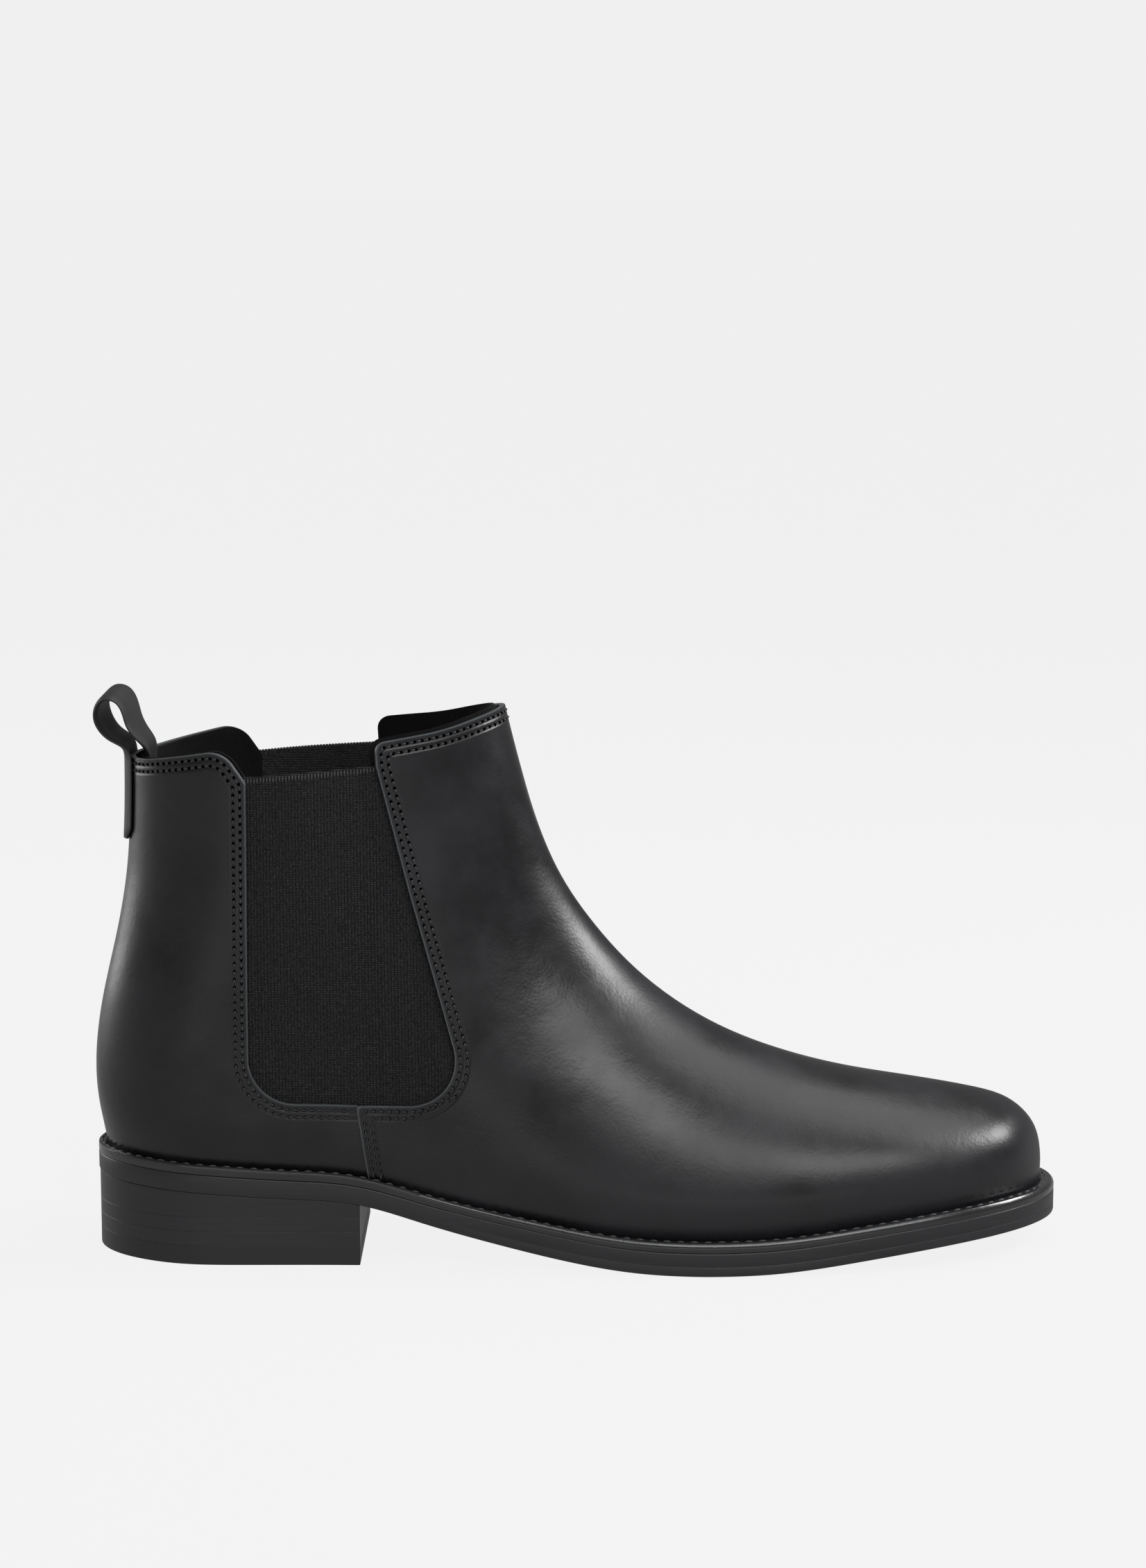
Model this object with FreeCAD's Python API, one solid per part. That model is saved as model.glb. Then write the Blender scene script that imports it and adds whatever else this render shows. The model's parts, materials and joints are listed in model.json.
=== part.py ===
"""A man's chelsea boot for the right foot, as separate pieces.

Millimetres. X runs from the heel to the toe, +Y is the inner (big toe) side, Z is up.
The upper is drawn as a smooth surface round the last; every leather, elastic, stiffener and
lining piece is a layer at its own depth under that surface, cut out by its side-view pattern.
The bottom is a stack of layers between side-view curves, cut out by outlines in plan.
"""

import FreeCAD, Part

import math
import os

from FreeCAD import Vector

# Overall sizes
SOLE_LENGTH = 303.0        # welt, back of the heel to the toe tip
UPPER_BALL_WIDTH = 98.3    # upper, across the ball
UPPER_HEIGHT = 154.0       # front of the collar above the welt
HEEL_HEIGHT = 24.0         # floor to the outsole at the back of the heel
TOE_SPRING = 9.0           # floor to the outsole at the toe tip

# Bottom
OUTSOLE_FORE = 7.4         # outsole thickness in the forepart
OUTSOLE_REAR = 5.9         # and at the heel
WELT = 3.1
WELT_EDGE_TOE = 4.8        # how far the welt stands out from the upper
WELT_EDGE_REAR = 2.7
HEEL_BREAST = 83.8         # front face of the heel, from the heel's back
TOP_LIFT = 6.0
HEEL_TUCK = 0.3            # the heel stack stands this far inside the outsole
NAIL_RADIUS = 1.1
NAIL_LENGTH = 0.625 * HEEL_HEIGHT   # up through the lifts into the wedge
NAIL_INSET = 8.0
NAIL_COUNT = 7
INSOLE = 2.5
SOCK_LINER = 1.2
HEEL_PAD = 2.4
HEEL_PAD_LENGTH = 78.0
RIB = 2.0
RIB_START = 96.0           # the rib starts in front of the heel seat
SHANK_START = 50.0
SHANK_END = 160.0
SHANK_WIDTH = 12.0
SHANK = 1.4
RIVET_RADIUS = 2.0

# Upper
LEATHER = 1.7
GORE = 1.3
STIFFENER = 1.3
LINING = 1.0
STRAP = 1.6
STRAP_WIDTH = 20.0
LAYER_GAP = 0.1            # between layers that lie on each other
CUT_GAP = 0.3              # between pieces that meet edge to edge
GORE_MARGIN = 8.0          # elastic hidden between the leather and the lining
GORE_CORNER = 14.0
COUNTER_HEIGHT = 42.0      # above the welt
PUFF_START = 238.0

# Motion
FLEX_X = 196.0             # line across the ball where the sole bends
FLEX_ANGLE = 25.0          # toe up
SPREAD_HEIGHT = 76.0       # the back quarter leans back above this height
LOOP_PIVOT_Z = 156.0

# Sizes of the boot that the patterns below are drawn on
DRAWN_LENGTH = 303.0
DRAWN_BALL_WIDTH = 98.3
DRAWN_HEIGHT = 154.0
DRAWN_SOLE = (24.0, 9.0, 10.5, 9.0)

ALONG = SOLE_LENGTH / DRAWN_LENGTH
ACROSS = UPPER_BALL_WIDTH / DRAWN_BALL_WIDTH
UP = UPPER_HEIGHT / DRAWN_HEIGHT
REACH = 400.0              # further than any piece


# ---------------------------------------------------------------- curves

def smooth(points):
    """A natural cubic y(x) through the points, straight beyond its ends."""
    xs = [p[0] for p in points]
    ys = [p[1] for p in points]
    last = len(xs) - 1
    step = [xs[i + 1] - xs[i] for i in range(last)]
    bend = [0.0] * (last + 1)
    upper, right = [0.0] * (last + 1), [0.0] * (last + 1)
    for i in range(1, last):
        slope_change = (ys[i + 1] - ys[i]) / step[i] - (ys[i] - ys[i - 1]) / step[i - 1]
        pivot = 2 * (step[i - 1] + step[i]) - step[i - 1] * upper[i - 1]
        upper[i] = step[i] / pivot
        right[i] = (6 * slope_change - step[i - 1] * right[i - 1]) / pivot
    for i in range(last - 1, 0, -1):
        bend[i] = right[i] - upper[i] * bend[i + 1]

    def value(x):
        i = 0
        while i < last - 1 and x > xs[i + 1]:
            i += 1
        h = step[i]
        inside = min(max(x, xs[0]), xs[-1])
        a, b = (xs[i + 1] - inside) / h, (inside - xs[i]) / h
        y = a * ys[i] + b * ys[i + 1]
        y += ((a ** 3 - a) * bend[i] + (b ** 3 - b) * bend[i + 1]) * h * h / 6
        slope = (ys[i + 1] - ys[i]) / h
        slope += ((1 - 3 * a * a) * bend[i] + (3 * b * b - 1) * bend[i + 1]) * h / 6
        return y + slope * (x - inside)

    return value


def ease(t):
    """0 to 1 with flat ends."""
    t = min(max(t, 0.0), 1.0)
    return t * t * (3 - 2 * t)


def mix(a, b, t):
    return a + (b - a) * t


# ---------------------------------------------------------------- bottom line in side view

# share of the length, share of the heel height
REAR_LINE = smooth([(-0.05, 1.01), (0.0, 1.0), (0.1, 0.955), (0.2, 0.875), (0.277, 0.79), (0.343, 0.557),
                    (0.406, 0.352), (0.475, 0.172), (0.548, 0.04), (0.63, 0.0), (0.7, 0.0)])
# share of the length, share of the toe spring
TOE_LINE = smooth([(0.55, 0.0), (0.63, 0.0), (0.70, 0.07), (0.785, 0.38), (0.87, 0.70), (0.947, 0.90),
                   (1.0, 0.99), (1.05, 1.07)])


def sole_bottom_at(share, heel, spring):
    if share < 0.63:
        return heel * max(REAR_LINE(share), 0.0)
    return spring * max(TOE_LINE(share), 0.0)


def sole_height_at(share, heel, spring, fore, rear):
    """Height of the welt's top face; fore and rear are welt and outsole together."""
    return sole_bottom_at(share, heel, spring) + mix(rear, fore, ease((share - 0.26) / 0.24))


def sole_bottom(x):
    return sole_bottom_at(x / SOLE_LENGTH, HEEL_HEIGHT, TOE_SPRING)


def welt_top(x):
    return sole_height_at(x / SOLE_LENGTH, HEEL_HEIGHT, TOE_SPRING, OUTSOLE_FORE + WELT, OUTSOLE_REAR + WELT)


def drawn_welt_top(x):
    return sole_height_at(x / DRAWN_LENGTH, *DRAWN_SOLE)


def worn(x, z):
    """A point of the drawn side view, on the boot of the sizes above."""
    real_x = x * ALONG
    return real_x, welt_top(real_x) + (z - drawn_welt_top(x)) * UP


# ---------------------------------------------------------------- the last's surface, as drawn

# Front profile from under the toe, over the vamp, to above the collar; and the heights of the back
# profile that the same rings reach
FRONT = [(296.8, 14.5), (298.1, 20.5), (298.2, 27.5), (296.4, 35.5), (290.6, 42.3), (280.1, 46.8),
         (262.5, 49.9), (240.0, 53.6), (215.0, 60.4), (192.0, 70.6), (172.0, 84.8), (157.0, 100.8),
         (146.3, 116.5), (139.4, 132.0), (135.0, 146.0), (131.3, 160.0), (128.6, 171.3), (126.8, 180.0)]
BACK_HEIGHTS = [27.0, 33.0, 38.0, 44.0, 50.0, 56.0, 63.0, 71.0, 80.0, 90.0, 101.0, 112.0, 122.0, 132.0,
                141.0, 150.0, 159.0, 168.0]
RINGS = len(FRONT)
front_x = smooth([(i, p[0]) for i, p in enumerate(FRONT)])
front_z = smooth([(i, p[1]) for i, p in enumerate(FRONT)])
back_height = smooth(list(enumerate(BACK_HEIGHTS)))
back_x = smooth([(27, 3.4), (36, 2.0), (46, 0.2), (60, -0.4), (78, 1.9), (98, 6.5), (118, 10.2),
                 (138, 11.7), (158, 12.0), (176, 11.8)])
roof_z = smooth([(x, z) for x, z in reversed(FRONT[3:12])])
shaft_front_x = smooth([(z, x) for x, z in FRONT[11:]])
toe_front_x = smooth([(z, x) for x, z in FRONT[:3]] + [(34.0, 298.4), (60.0, 298.4)])

# The front profile is close to an arc about this point
FAN_X, FAN_Z = 250.0, 175.0
fan_radius = smooth(sorted((math.degrees(math.atan2(FAN_Z - z, FAN_X - x)), math.hypot(FAN_X - x, FAN_Z - z))
                           for x, z in FRONT[7:17] + [(FAN_X, roof_z(FAN_X))]))
# angle under the front profile, depth at which the boot reaches its full width
fan_depth = smooth([(0, 72), (25, 74), (45, 74), (62, 60), (75, 43), (84, 34), (90, 29)])
toe_depth = smooth([(250, 29), (265, 26), (280, 21), (290, 16), (299, 11)])
pinch = smooth([(0, 0.16), (25, 0.18), (45, 0.20), (70, 0.10), (90, 0.0)])

# half widths along the foot, outer and inner side, and of the shaft
outer_foot = smooth([(0, 32.5), (35, 34.0), (70, 34.0), (105, 35.8), (140, 41.5), (175, 47.4), (200, 48.8),
                     (225, 47.2), (250, 43.5), (300, 37.0)])
inner_foot = smooth([(0, 32.5), (35, 34.0), (70, 33.2), (105, 33.0), (140, 37.0), (175, 45.0), (200, 49.5),
                     (225, 49.5), (250, 45.5), (300, 38.0)])
SHAFT_HALF_WIDTH = 35.0
heel_depth = smooth([(27, 37), (60, 39), (100, 46), (130, 50), (175, 50)])
swing = smooth([(0, 0), (120, 0), (180, 0.6), (240, 2.6), (300, 5.0)])
TOE_ROUND_START = 230.0
TOE_ROUNDNESS = 2.7
LOWER_TUCK = 0.075         # share of the width lost from the widest line down to the welt
WIDEST_ABOVE_WELT = 14.0


def dome(t, pinched=0.0):
    """Width share at a share t of the closing depth: round at 0, flat at 1."""
    rest = 1 - min(max(t, 0.0), 1.0)
    return math.sqrt(max(1 - rest * rest, 0.0)) * (1 - pinched * rest * rest)


def front_closing(x, z):
    """Width share under the front profile."""
    if z > FAN_Z:
        return dome((shaft_front_x(z) - x) / fan_depth(0), pinch(0))
    if x > FAN_X:
        return dome((roof_z(x) - z) / toe_depth(x), 0.0)
    angle = math.degrees(math.atan2(FAN_Z - z, FAN_X - x))
    depth = math.hypot(FAN_X - x, FAN_Z - z) - fan_radius(angle)
    return dome(depth / fan_depth(angle), pinch(angle))


def half_width(x, z, side):
    """Half width as drawn; side is -1 for the outer side, +1 for the inner side."""
    foot = outer_foot(x) if side < 0 else inner_foot(x)
    width = mix(foot, SHAFT_HALF_WIDTH, ease((z - 55) / 60))
    width *= dome((x - back_x(z)) / heel_depth(z))
    width *= front_closing(x, z)
    tip = toe_front_x(z)
    toe = (x - TOE_ROUND_START) / (tip - TOE_ROUND_START)
    if toe > 0:
        width *= math.sqrt(max(1 - toe ** TOE_ROUNDNESS, 0.0))
    below = drawn_welt_top(x) + WIDEST_ABOVE_WELT - z
    if below > 0:
        width *= 1 - LOWER_TUCK * (below / WIDEST_ABOVE_WELT) ** 2
    return width


def ring_point(ring, share):
    """A ring's point in side view: ring from the welt up, share from the back to the front."""
    z0, x1, z1 = back_height(ring), front_x(ring), front_z(ring)
    x0 = back_x(z0)
    x = mix(x0, x1, share)
    z = mix(z0, z1, share)
    sag = drawn_welt_top(x) - mix(drawn_welt_top(x0), drawn_welt_top(x1), share)
    z += sag * (1 - ring / (RINGS - 1)) ** 2.2
    return x, z


STEPS = 20                 # grid steps along each side, from the back to the front


def surface_point(ring, turn):
    """turn runs from 0 at the back, along the outer side to STEPS at the front, and back to 2*STEPS."""
    turn %= 2 * STEPS
    side = -1 if turn <= STEPS else 1
    k = turn if side < 0 else 2 * STEPS - turn
    share = (1 - math.cos(math.pi * k / STEPS)) / 2
    x, z = ring_point(ring, share)
    width = half_width(x, z, side) if 0 < k < STEPS else 0.0
    y = (swing(x) + side * width) * ACROSS
    real_x, real_z = worn(x, z)
    return Vector(real_x, y, real_z)


# ---------------------------------------------------------------- B-spline surfaces from grids

def basis(i, degree, knots, t):
    if degree == 0:
        inside = knots[i] <= t < knots[i + 1]
        at_end = t == knots[-1] and knots[i] < knots[i + 1] == t
        return 1.0 if inside or at_end else 0.0
    value = 0.0
    if knots[i + degree] > knots[i]:
        value += (t - knots[i]) / (knots[i + degree] - knots[i]) * basis(i, degree - 1, knots, t)
    if knots[i + degree + 1] > knots[i + 1]:
        share = (knots[i + degree + 1] - t) / (knots[i + degree + 1] - knots[i + 1])
        value += share * basis(i + 1, degree - 1, knots, t)
    return value


def inverse(matrix):
    n = len(matrix)
    rows = [row[:] + [1.0 if i == j else 0.0 for j in range(n)] for i, row in enumerate(matrix)]
    for c in range(n):
        best = max(range(c, n), key=lambda r: abs(rows[r][c]))
        rows[c], rows[best] = rows[best], rows[c]
        rows[c] = [v / rows[c][c] for v in rows[c]]
        for r in range(n):
            if r != c and rows[r][c]:
                factor = rows[r][c]
                rows[r] = [a - factor * b for a, b in zip(rows[r], rows[c])]
    return [row[n:] for row in rows]


def pole_solver(count):
    """Weights that turn [start slope, count points, end slope] into the poles of a cubic B-spline."""
    knots = [0.0] * 3 + [float(i) for i in range(count)] + [float(count - 1)] * 3
    poles = count + 2
    first = [0.0] * poles
    first[0], first[1] = -3.0, 3.0
    final = [0.0] * poles
    final[-2], final[-1] = -3.0, 3.0
    rows = [[basis(j, 3, knots, float(i)) for j in range(poles)] for i in range(count)]
    return inverse([first] + rows + [final])


def weighted(weights, vectors):
    total = Vector(0, 0, 0)
    for w, v in zip(weights, vectors):
        total += v * w
    return total


AROUND_SOLVER = pole_solver(STEPS + 1)
RING_SOLVER = pole_solver(RINGS)


def column_poles(points):
    """Poles up one column of ring points, with end slopes from the points themselves."""
    start = points[0] * -1.5 + points[1] * 2 - points[2] * 0.5
    end = points[-1] * 1.5 - points[-2] * 2 + points[-3] * 0.5
    return [weighted(row, [start] + points + [end]) for row in RING_SOLVER]


def half_surface(grid, first):
    """One side's surface from the full ring grid; first is the turn that it starts at."""
    count = len(grid)
    columns = [column_poles(grid[(first + k) % count]) for k in range(-1, STEPS + 2)]
    rows = []
    for j in range(RINGS + 2):
        line = [column[j] for column in columns]
        start = (line[2] - line[0]) * 0.5
        end = (line[-1] - line[-3]) * 0.5
        rows.append([weighted(row, [start] + line[1:-1] + [end]) for row in AROUND_SOLVER])
    poles = [[rows[j][i] for j in range(RINGS + 2)] for i in range(STEPS + 3)]
    surface = Part.BSplineSurface()
    u_knots = [float(i) for i in range(STEPS + 1)]
    v_knots = [float(i) for i in range(RINGS)]
    surface.buildFromPolesMultsKnots(poles, [4] + [1] * (STEPS - 1) + [4], [4] + [1] * (RINGS - 2) + [4],
                                     u_knots, v_knots, False, False, 3, 3)
    return surface


GRID = [[surface_point(ring, turn) for ring in range(RINGS)] for turn in range(2 * STEPS)]
OUTSIDE = half_surface(GRID, 0), half_surface(GRID, STEPS)


def grid_normal(ring, turn):
    """Outward normal of the finished surface at a grid point."""
    half, start = (OUTSIDE[0], 0) if turn <= STEPS else (OUTSIDE[1], STEPS)
    return half.normal(float(turn - start), float(ring))


NORMALS = [[grid_normal(ring, turn) for ring in range(RINGS)] for turn in range(2 * STEPS)]


def layer_halves(depth):
    """The two side surfaces at a depth under the outside of the leather."""
    grid = [[p - n * depth for p, n in zip(ps, ns)] for ps, ns in zip(GRID, NORMALS)]
    return half_surface(grid, 0), half_surface(grid, STEPS)


def sleeve(outer_depth, thickness):
    """A closed tube of one layer, longer than the upper at both ends."""
    faces = []
    for outer, inner in zip(layer_halves(outer_depth), layer_halves(outer_depth + thickness)):
        faces += [outer.toShape(), inner.toShape()]
        for v in (0.0, float(RINGS - 1)):
            faces.append(Part.makeRuledSurface(outer.vIso(v).toShape(), inner.vIso(v).toShape()))
    shell = Part.makeShell(faces)
    shell.sewShape()
    return outward(Part.Solid(shell))


def outward(solid):
    if solid.Volume < 0:
        solid.reverse()
    return solid


# ---------------------------------------------------------------- patterns in side view

def flat(x, z):
    return Vector(x, 0, z)


def curve_edge(points):
    spline = Part.BSplineCurve()
    spline.interpolate(points)
    return spline.toShape()


def rounded_edges(corners):
    """Edges of a closed outline; each corner is (x, z, radius), or (x, z) when sharp."""
    count = len(corners)
    turns = []
    for i, corner in enumerate(corners):
        here = flat(corner[0], corner[1])
        radius = corner[2] if len(corner) > 2 else 0.0
        before = flat(*corners[i - 1][:2]) - here
        after = flat(*corners[(i + 1) % count][:2]) - here
        before.normalize()
        after.normalize()
        half = before.getAngle(after) / 2
        reach = radius / math.tan(half) if radius else 0.0
        middle = before + after
        if radius:
            middle.normalize()
            middle = here + middle * (radius / math.sin(half) - radius)
        turns.append((here + before * reach, middle, here + after * reach, radius))
    edges = []
    for i, (start, middle, end, radius) in enumerate(turns):
        if radius:
            edges.append(Part.Arc(start, middle, end).toShape())
        following = turns[(i + 1) % count][0]
        if (following - end).Length > 1e-6:
            edges.append(Part.makeLine(end, following))
    return edges


def prism(edges, y0=-REACH, y1=REACH):
    face = Part.Face(Part.Wire(edges))
    face.translate(Vector(0, y0, 0))
    return outward(face.extrude(Vector(0, y1 - y0, 0)))


def pattern(corners, y0=-REACH, y1=REACH):
    return prism(rounded_edges([worn(c[0], c[1]) + tuple(c[2:]) for c in corners]), y0, y1)


def line_edge(height, x0, x1, steps=28):
    """A side-view curve at height(x)."""
    xs = [mix(x0, x1, i / steps) for i in range(steps + 1)]
    return curve_edge([flat(x, height(x)) for x in xs])


def band(low, high, x0, x1):
    """The space between two side-view curves."""
    bottom, top = line_edge(low, x0, x1), line_edge(high, x0, x1)
    right = Part.makeLine(flat(x1, low(x1)), flat(x1, high(x1)))
    left = Part.makeLine(flat(x0, high(x0)), flat(x0, low(x0)))
    return prism([bottom, right, top, left])


def above(height):
    """All the space above a side-view curve."""
    return band(height, lambda x: REACH, -60.0 * ALONG, DRAWN_LENGTH * 1.2 * ALONG)


# The elastic's opening, and the seam under it where the vamp meets the quarter
GORE_TOP_FRONT, GORE_TOP_BACK = (89.6, 155.4), (50.6, 152.2)
OPENING = [GORE_TOP_BACK, (50.3, 51.6, GORE_CORNER), (117.6, 50.8, GORE_CORNER), (99.4, 116.3, 400.0),
           GORE_TOP_FRONT, (85.2, 172.0), (50.6, 172.0)]
SEAM_TOP, SEAM_FOOT = (82.9, 49.0), (88.8, 10.0)

FRONT_PANEL = [(89.7, 154.0), (89.2, 163.1, 3.5), (110.3, 166.0, 80.0), (128.6, 171.3), (150.0, 178.0),
               (340.0, 140.0), (340.0, -30.0), (94.0, -30.0), SEAM_FOOT, SEAM_TOP, (82.9, 60.0),
               (80.0, 100.0)]
BACK_PANEL = [(-30.0, 155.0), (14.0, 155.6, 60.0), (43.2, 161.2, 9.0), (52.0, 149.0), (56.0, 140.0),
              (80.0, 60.0), (82.9 - CUT_GAP, 60.0), (SEAM_TOP[0] - CUT_GAP, SEAM_TOP[1]),
              (SEAM_FOOT[0] - CUT_GAP, SEAM_FOOT[1]), (88.0, -30.0), (-30.0, -30.0)]


def grown(corners, margin):
    """The elastic's own outline: its opening with a margin hidden at the back, bottom and front."""
    back, front = GORE_TOP_BACK, GORE_TOP_FRONT
    slope = (front[1] - back[1]) / (front[0] - back[0])
    low_back, low_front, waist = corners[1], corners[2], corners[3]
    return [(back[0] - margin, back[1] - margin * slope),
            (low_back[0] - margin, low_back[1] - margin, GORE_CORNER),
            (low_front[0] + margin, low_front[1] - margin, GORE_CORNER),
            (waist[0] + margin, waist[1], 400.0),
            (front[0] + margin, front[1] + margin * slope)]


# ---------------------------------------------------------------- where the boot bends

FLEX_Z = sole_bottom(FLEX_X * ALONG) + OUTSOLE_FORE
flex_x = FLEX_X * ALONG
half_wedge = math.tan(math.radians(FLEX_ANGLE / 2 + 1.0))
LEAN_X = back_x(SPREAD_HEIGHT) * ALONG - 1.5
LEAN_Z = worn(0.0, SPREAD_HEIGHT)[1]


def side_of_flex(sign, gap):
    """Space behind (-1) or in front (+1) of the bend, with room above the axis for the bend."""
    edge = flex_x + sign * gap / 2
    lean = edge + sign * half_wedge * REACH
    far = flex_x + sign * 2 * REACH
    corners = [(edge, -REACH), (edge, FLEX_Z), (lean, FLEX_Z + REACH), (far, FLEX_Z + REACH), (far, -REACH)]
    return prism(rounded_edges(corners))


def flex_wedge():
    """The wedge of the upper that folds when the sole bends."""
    lean = half_wedge * REACH - CUT_GAP
    corners = [(flex_x, FLEX_Z + 2 * CUT_GAP), (flex_x + lean, FLEX_Z + REACH),
               (flex_x - lean, FLEX_Z + REACH)]
    return prism(rounded_edges(corners))


REAR_OF_FLEX = side_of_flex(-1, CUT_GAP)
FRONT_OF_FLEX = side_of_flex(1, CUT_GAP)
FLEX_WEDGE = flex_wedge()
UPPER_BACK = prism(rounded_edges([(-REACH, LEAN_Z + CUT_GAP), (REACH, LEAN_Z + CUT_GAP), (REACH, REACH),
                                  (-REACH, REACH)]))
LOWER_BACK = prism(rounded_edges([(-REACH, -REACH), (REACH, -REACH), (REACH, LEAN_Z), (-REACH, LEAN_Z)]))


# ---------------------------------------------------------------- outlines in plan

def feather_point(turn):
    """The foot of the upper: where its outside meets the welt's top face."""
    ring = 1.0
    for _ in range(6):
        p = surface_point(ring, turn)
        rise = surface_point(ring + 0.05, turn).z - p.z
        ring += (welt_top(p.x) - p.z) / rise * 0.05
    return surface_point(ring, turn)


FEATHER = [feather_point(turn) for turn in range(2 * STEPS)]


def plan_normal(i):
    """Outward direction in plan at a feather point."""
    along = FEATHER[(i + 1) % len(FEATHER)] - FEATHER[i - 1]
    out = Vector(along.y, -along.x, 0)
    out.normalize()
    return out


def welt_edge(x):
    return mix(WELT_EDGE_REAR, WELT_EDGE_TOE, ease((x / SOLE_LENGTH - 0.35) / 0.3))


def outline(offset):
    """Solid prism of the feather line grown in plan by offset(x)."""
    points = []
    for i, p in enumerate(FEATHER):
        q = p + plan_normal(i) * offset(p.x)
        points.append(Vector(q.x, q.y, -REACH))
    spline = Part.BSplineCurve()
    spline.interpolate(Points=points, PeriodicFlag=True)
    return outward(Part.Face(Part.Wire(spline.toShape())).extrude(Vector(0, 0, 2 * REACH)))


def fixed(value):
    return lambda x: value


WALL = LEATHER + LAYER_GAP + GORE + LAYER_GAP + LINING      # leather, middle layer and lining
BOARD_GAP = 1.0                                             # between the lining and the insole, in plan
INSIDE = -(WALL + BOARD_GAP)
SOLE_START, SOLE_END = -30.0 * ALONG, 330.0 * ALONG

nodes = {}


def keep(name, shape):
    solids = shape.Solids
    if name not in GROUPS:
        solids = [max(solids, key=lambda s: s.Volume)]
    nodes[name] = solids


GROUPS = ("heel_nails", "shank_rivets", "insole_rib_rear")


# ---------------------------------------------------------------- bottom pieces

def above_sole(extra):
    return lambda x: sole_bottom(x) + extra


def above_welt(extra):
    return lambda x: welt_top(x) + extra


def outsole_top(x):
    return welt_top(x) - WELT


def layer(low, high, x0=SOLE_START, x1=SOLE_END):
    return band(low, high, x0, x1)


def split_at_flex(name, shape):
    keep(name + "_rear", shape.common(REAR_OF_FLEX))
    keep(name + "_forepart", shape.common(FRONT_OF_FLEX))


def lowered(height, drop):
    return lambda x: height(x) - drop


def make_bottom():
    whole = outline(welt_edge)
    inner = outline(fixed(INSIDE))
    split_at_flex("outsole", whole.common(layer(sole_bottom, lowered(outsole_top, LAYER_GAP))))
    around = outline(fixed(LAYER_GAP))
    split_at_flex("welt", whole.cut(around).common(layer(outsole_top, welt_top)))

    board = inner.common(layer(above_welt(0), above_welt(INSOLE)))
    split_at_flex("insole_board", board)
    sock = inner.common(layer(above_welt(INSOLE + LAYER_GAP), above_welt(INSOLE + LAYER_GAP + SOCK_LINER)))
    split_at_flex("sock_liner", sock)
    pad_low = INSOLE + SOCK_LINER + 2 * LAYER_GAP
    pad = outline(fixed(INSIDE - 4.0)).common(
        layer(above_welt(pad_low), above_welt(pad_low + HEEL_PAD), SOLE_START, HEEL_PAD_LENGTH * ALONG))
    keep("heel_pad", pad)

    under_board = layer(lowered(welt_top, WELT), lowered(welt_top, LAYER_GAP))
    rib = inner.cut(outline(fixed(INSIDE - RIB))).common(under_board)
    ahead = Part.makeBox(REACH, 2 * REACH, 2 * REACH, Vector(RIB_START * ALONG, -REACH, -REACH))
    split_at_flex("insole_rib", rib.common(ahead))

    shank_slot = Part.makeBox((SHANK_END - SHANK_START) * ALONG, SHANK_WIDTH, 2 * REACH,
                              Vector(SHANK_START * ALONG, -SHANK_WIDTH / 2, -REACH))
    shank_low = lowered(welt_top, LAYER_GAP + SHANK)
    shank = shank_slot.common(layer(shank_low, lowered(welt_top, LAYER_GAP)))
    room_length = (SHANK_END - SHANK_START) * ALONG + 2 * LAYER_GAP
    room_corner = Vector(SHANK_START * ALONG - LAYER_GAP, -SHANK_WIDTH / 2 - LAYER_GAP, -REACH)
    room = Part.makeBox(room_length, SHANK_WIDTH + 2 * LAYER_GAP, 2 * REACH, room_corner)
    room = room.common(layer(lowered(shank_low, LAYER_GAP), above_welt(1)))
    cork = outline(fixed(INSIDE - RIB - LAYER_GAP)).common(under_board).cut(room)
    split_at_flex("cork_filler", cork)

    rivets = []
    for x in (SHANK_START + 12.0, SHANK_START + 28.0):
        post = Part.makeCylinder(RIVET_RADIUS, 2 * REACH, Vector(x * ALONG, 0, -REACH))
        hole = Part.makeCylinder(RIVET_RADIUS + LAYER_GAP, 2 * REACH, Vector(x * ALONG, 0, -REACH))
        rivets.append(post.common(layer(shank_low, above_welt(INSOLE))))
        shank = shank.cut(hole)
        nodes["insole_board_rear"] = [nodes["insole_board_rear"][0].cut(hole).Solids[0]]
    keep("steel_shank", shank)
    keep("shank_rivets", Part.makeCompound(rivets))


def level_slice(low, high):
    """All the space between two heights."""
    return Part.makeBox(4 * REACH, 2 * REACH, high - low, Vector(-2 * REACH, -REACH, low))


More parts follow.
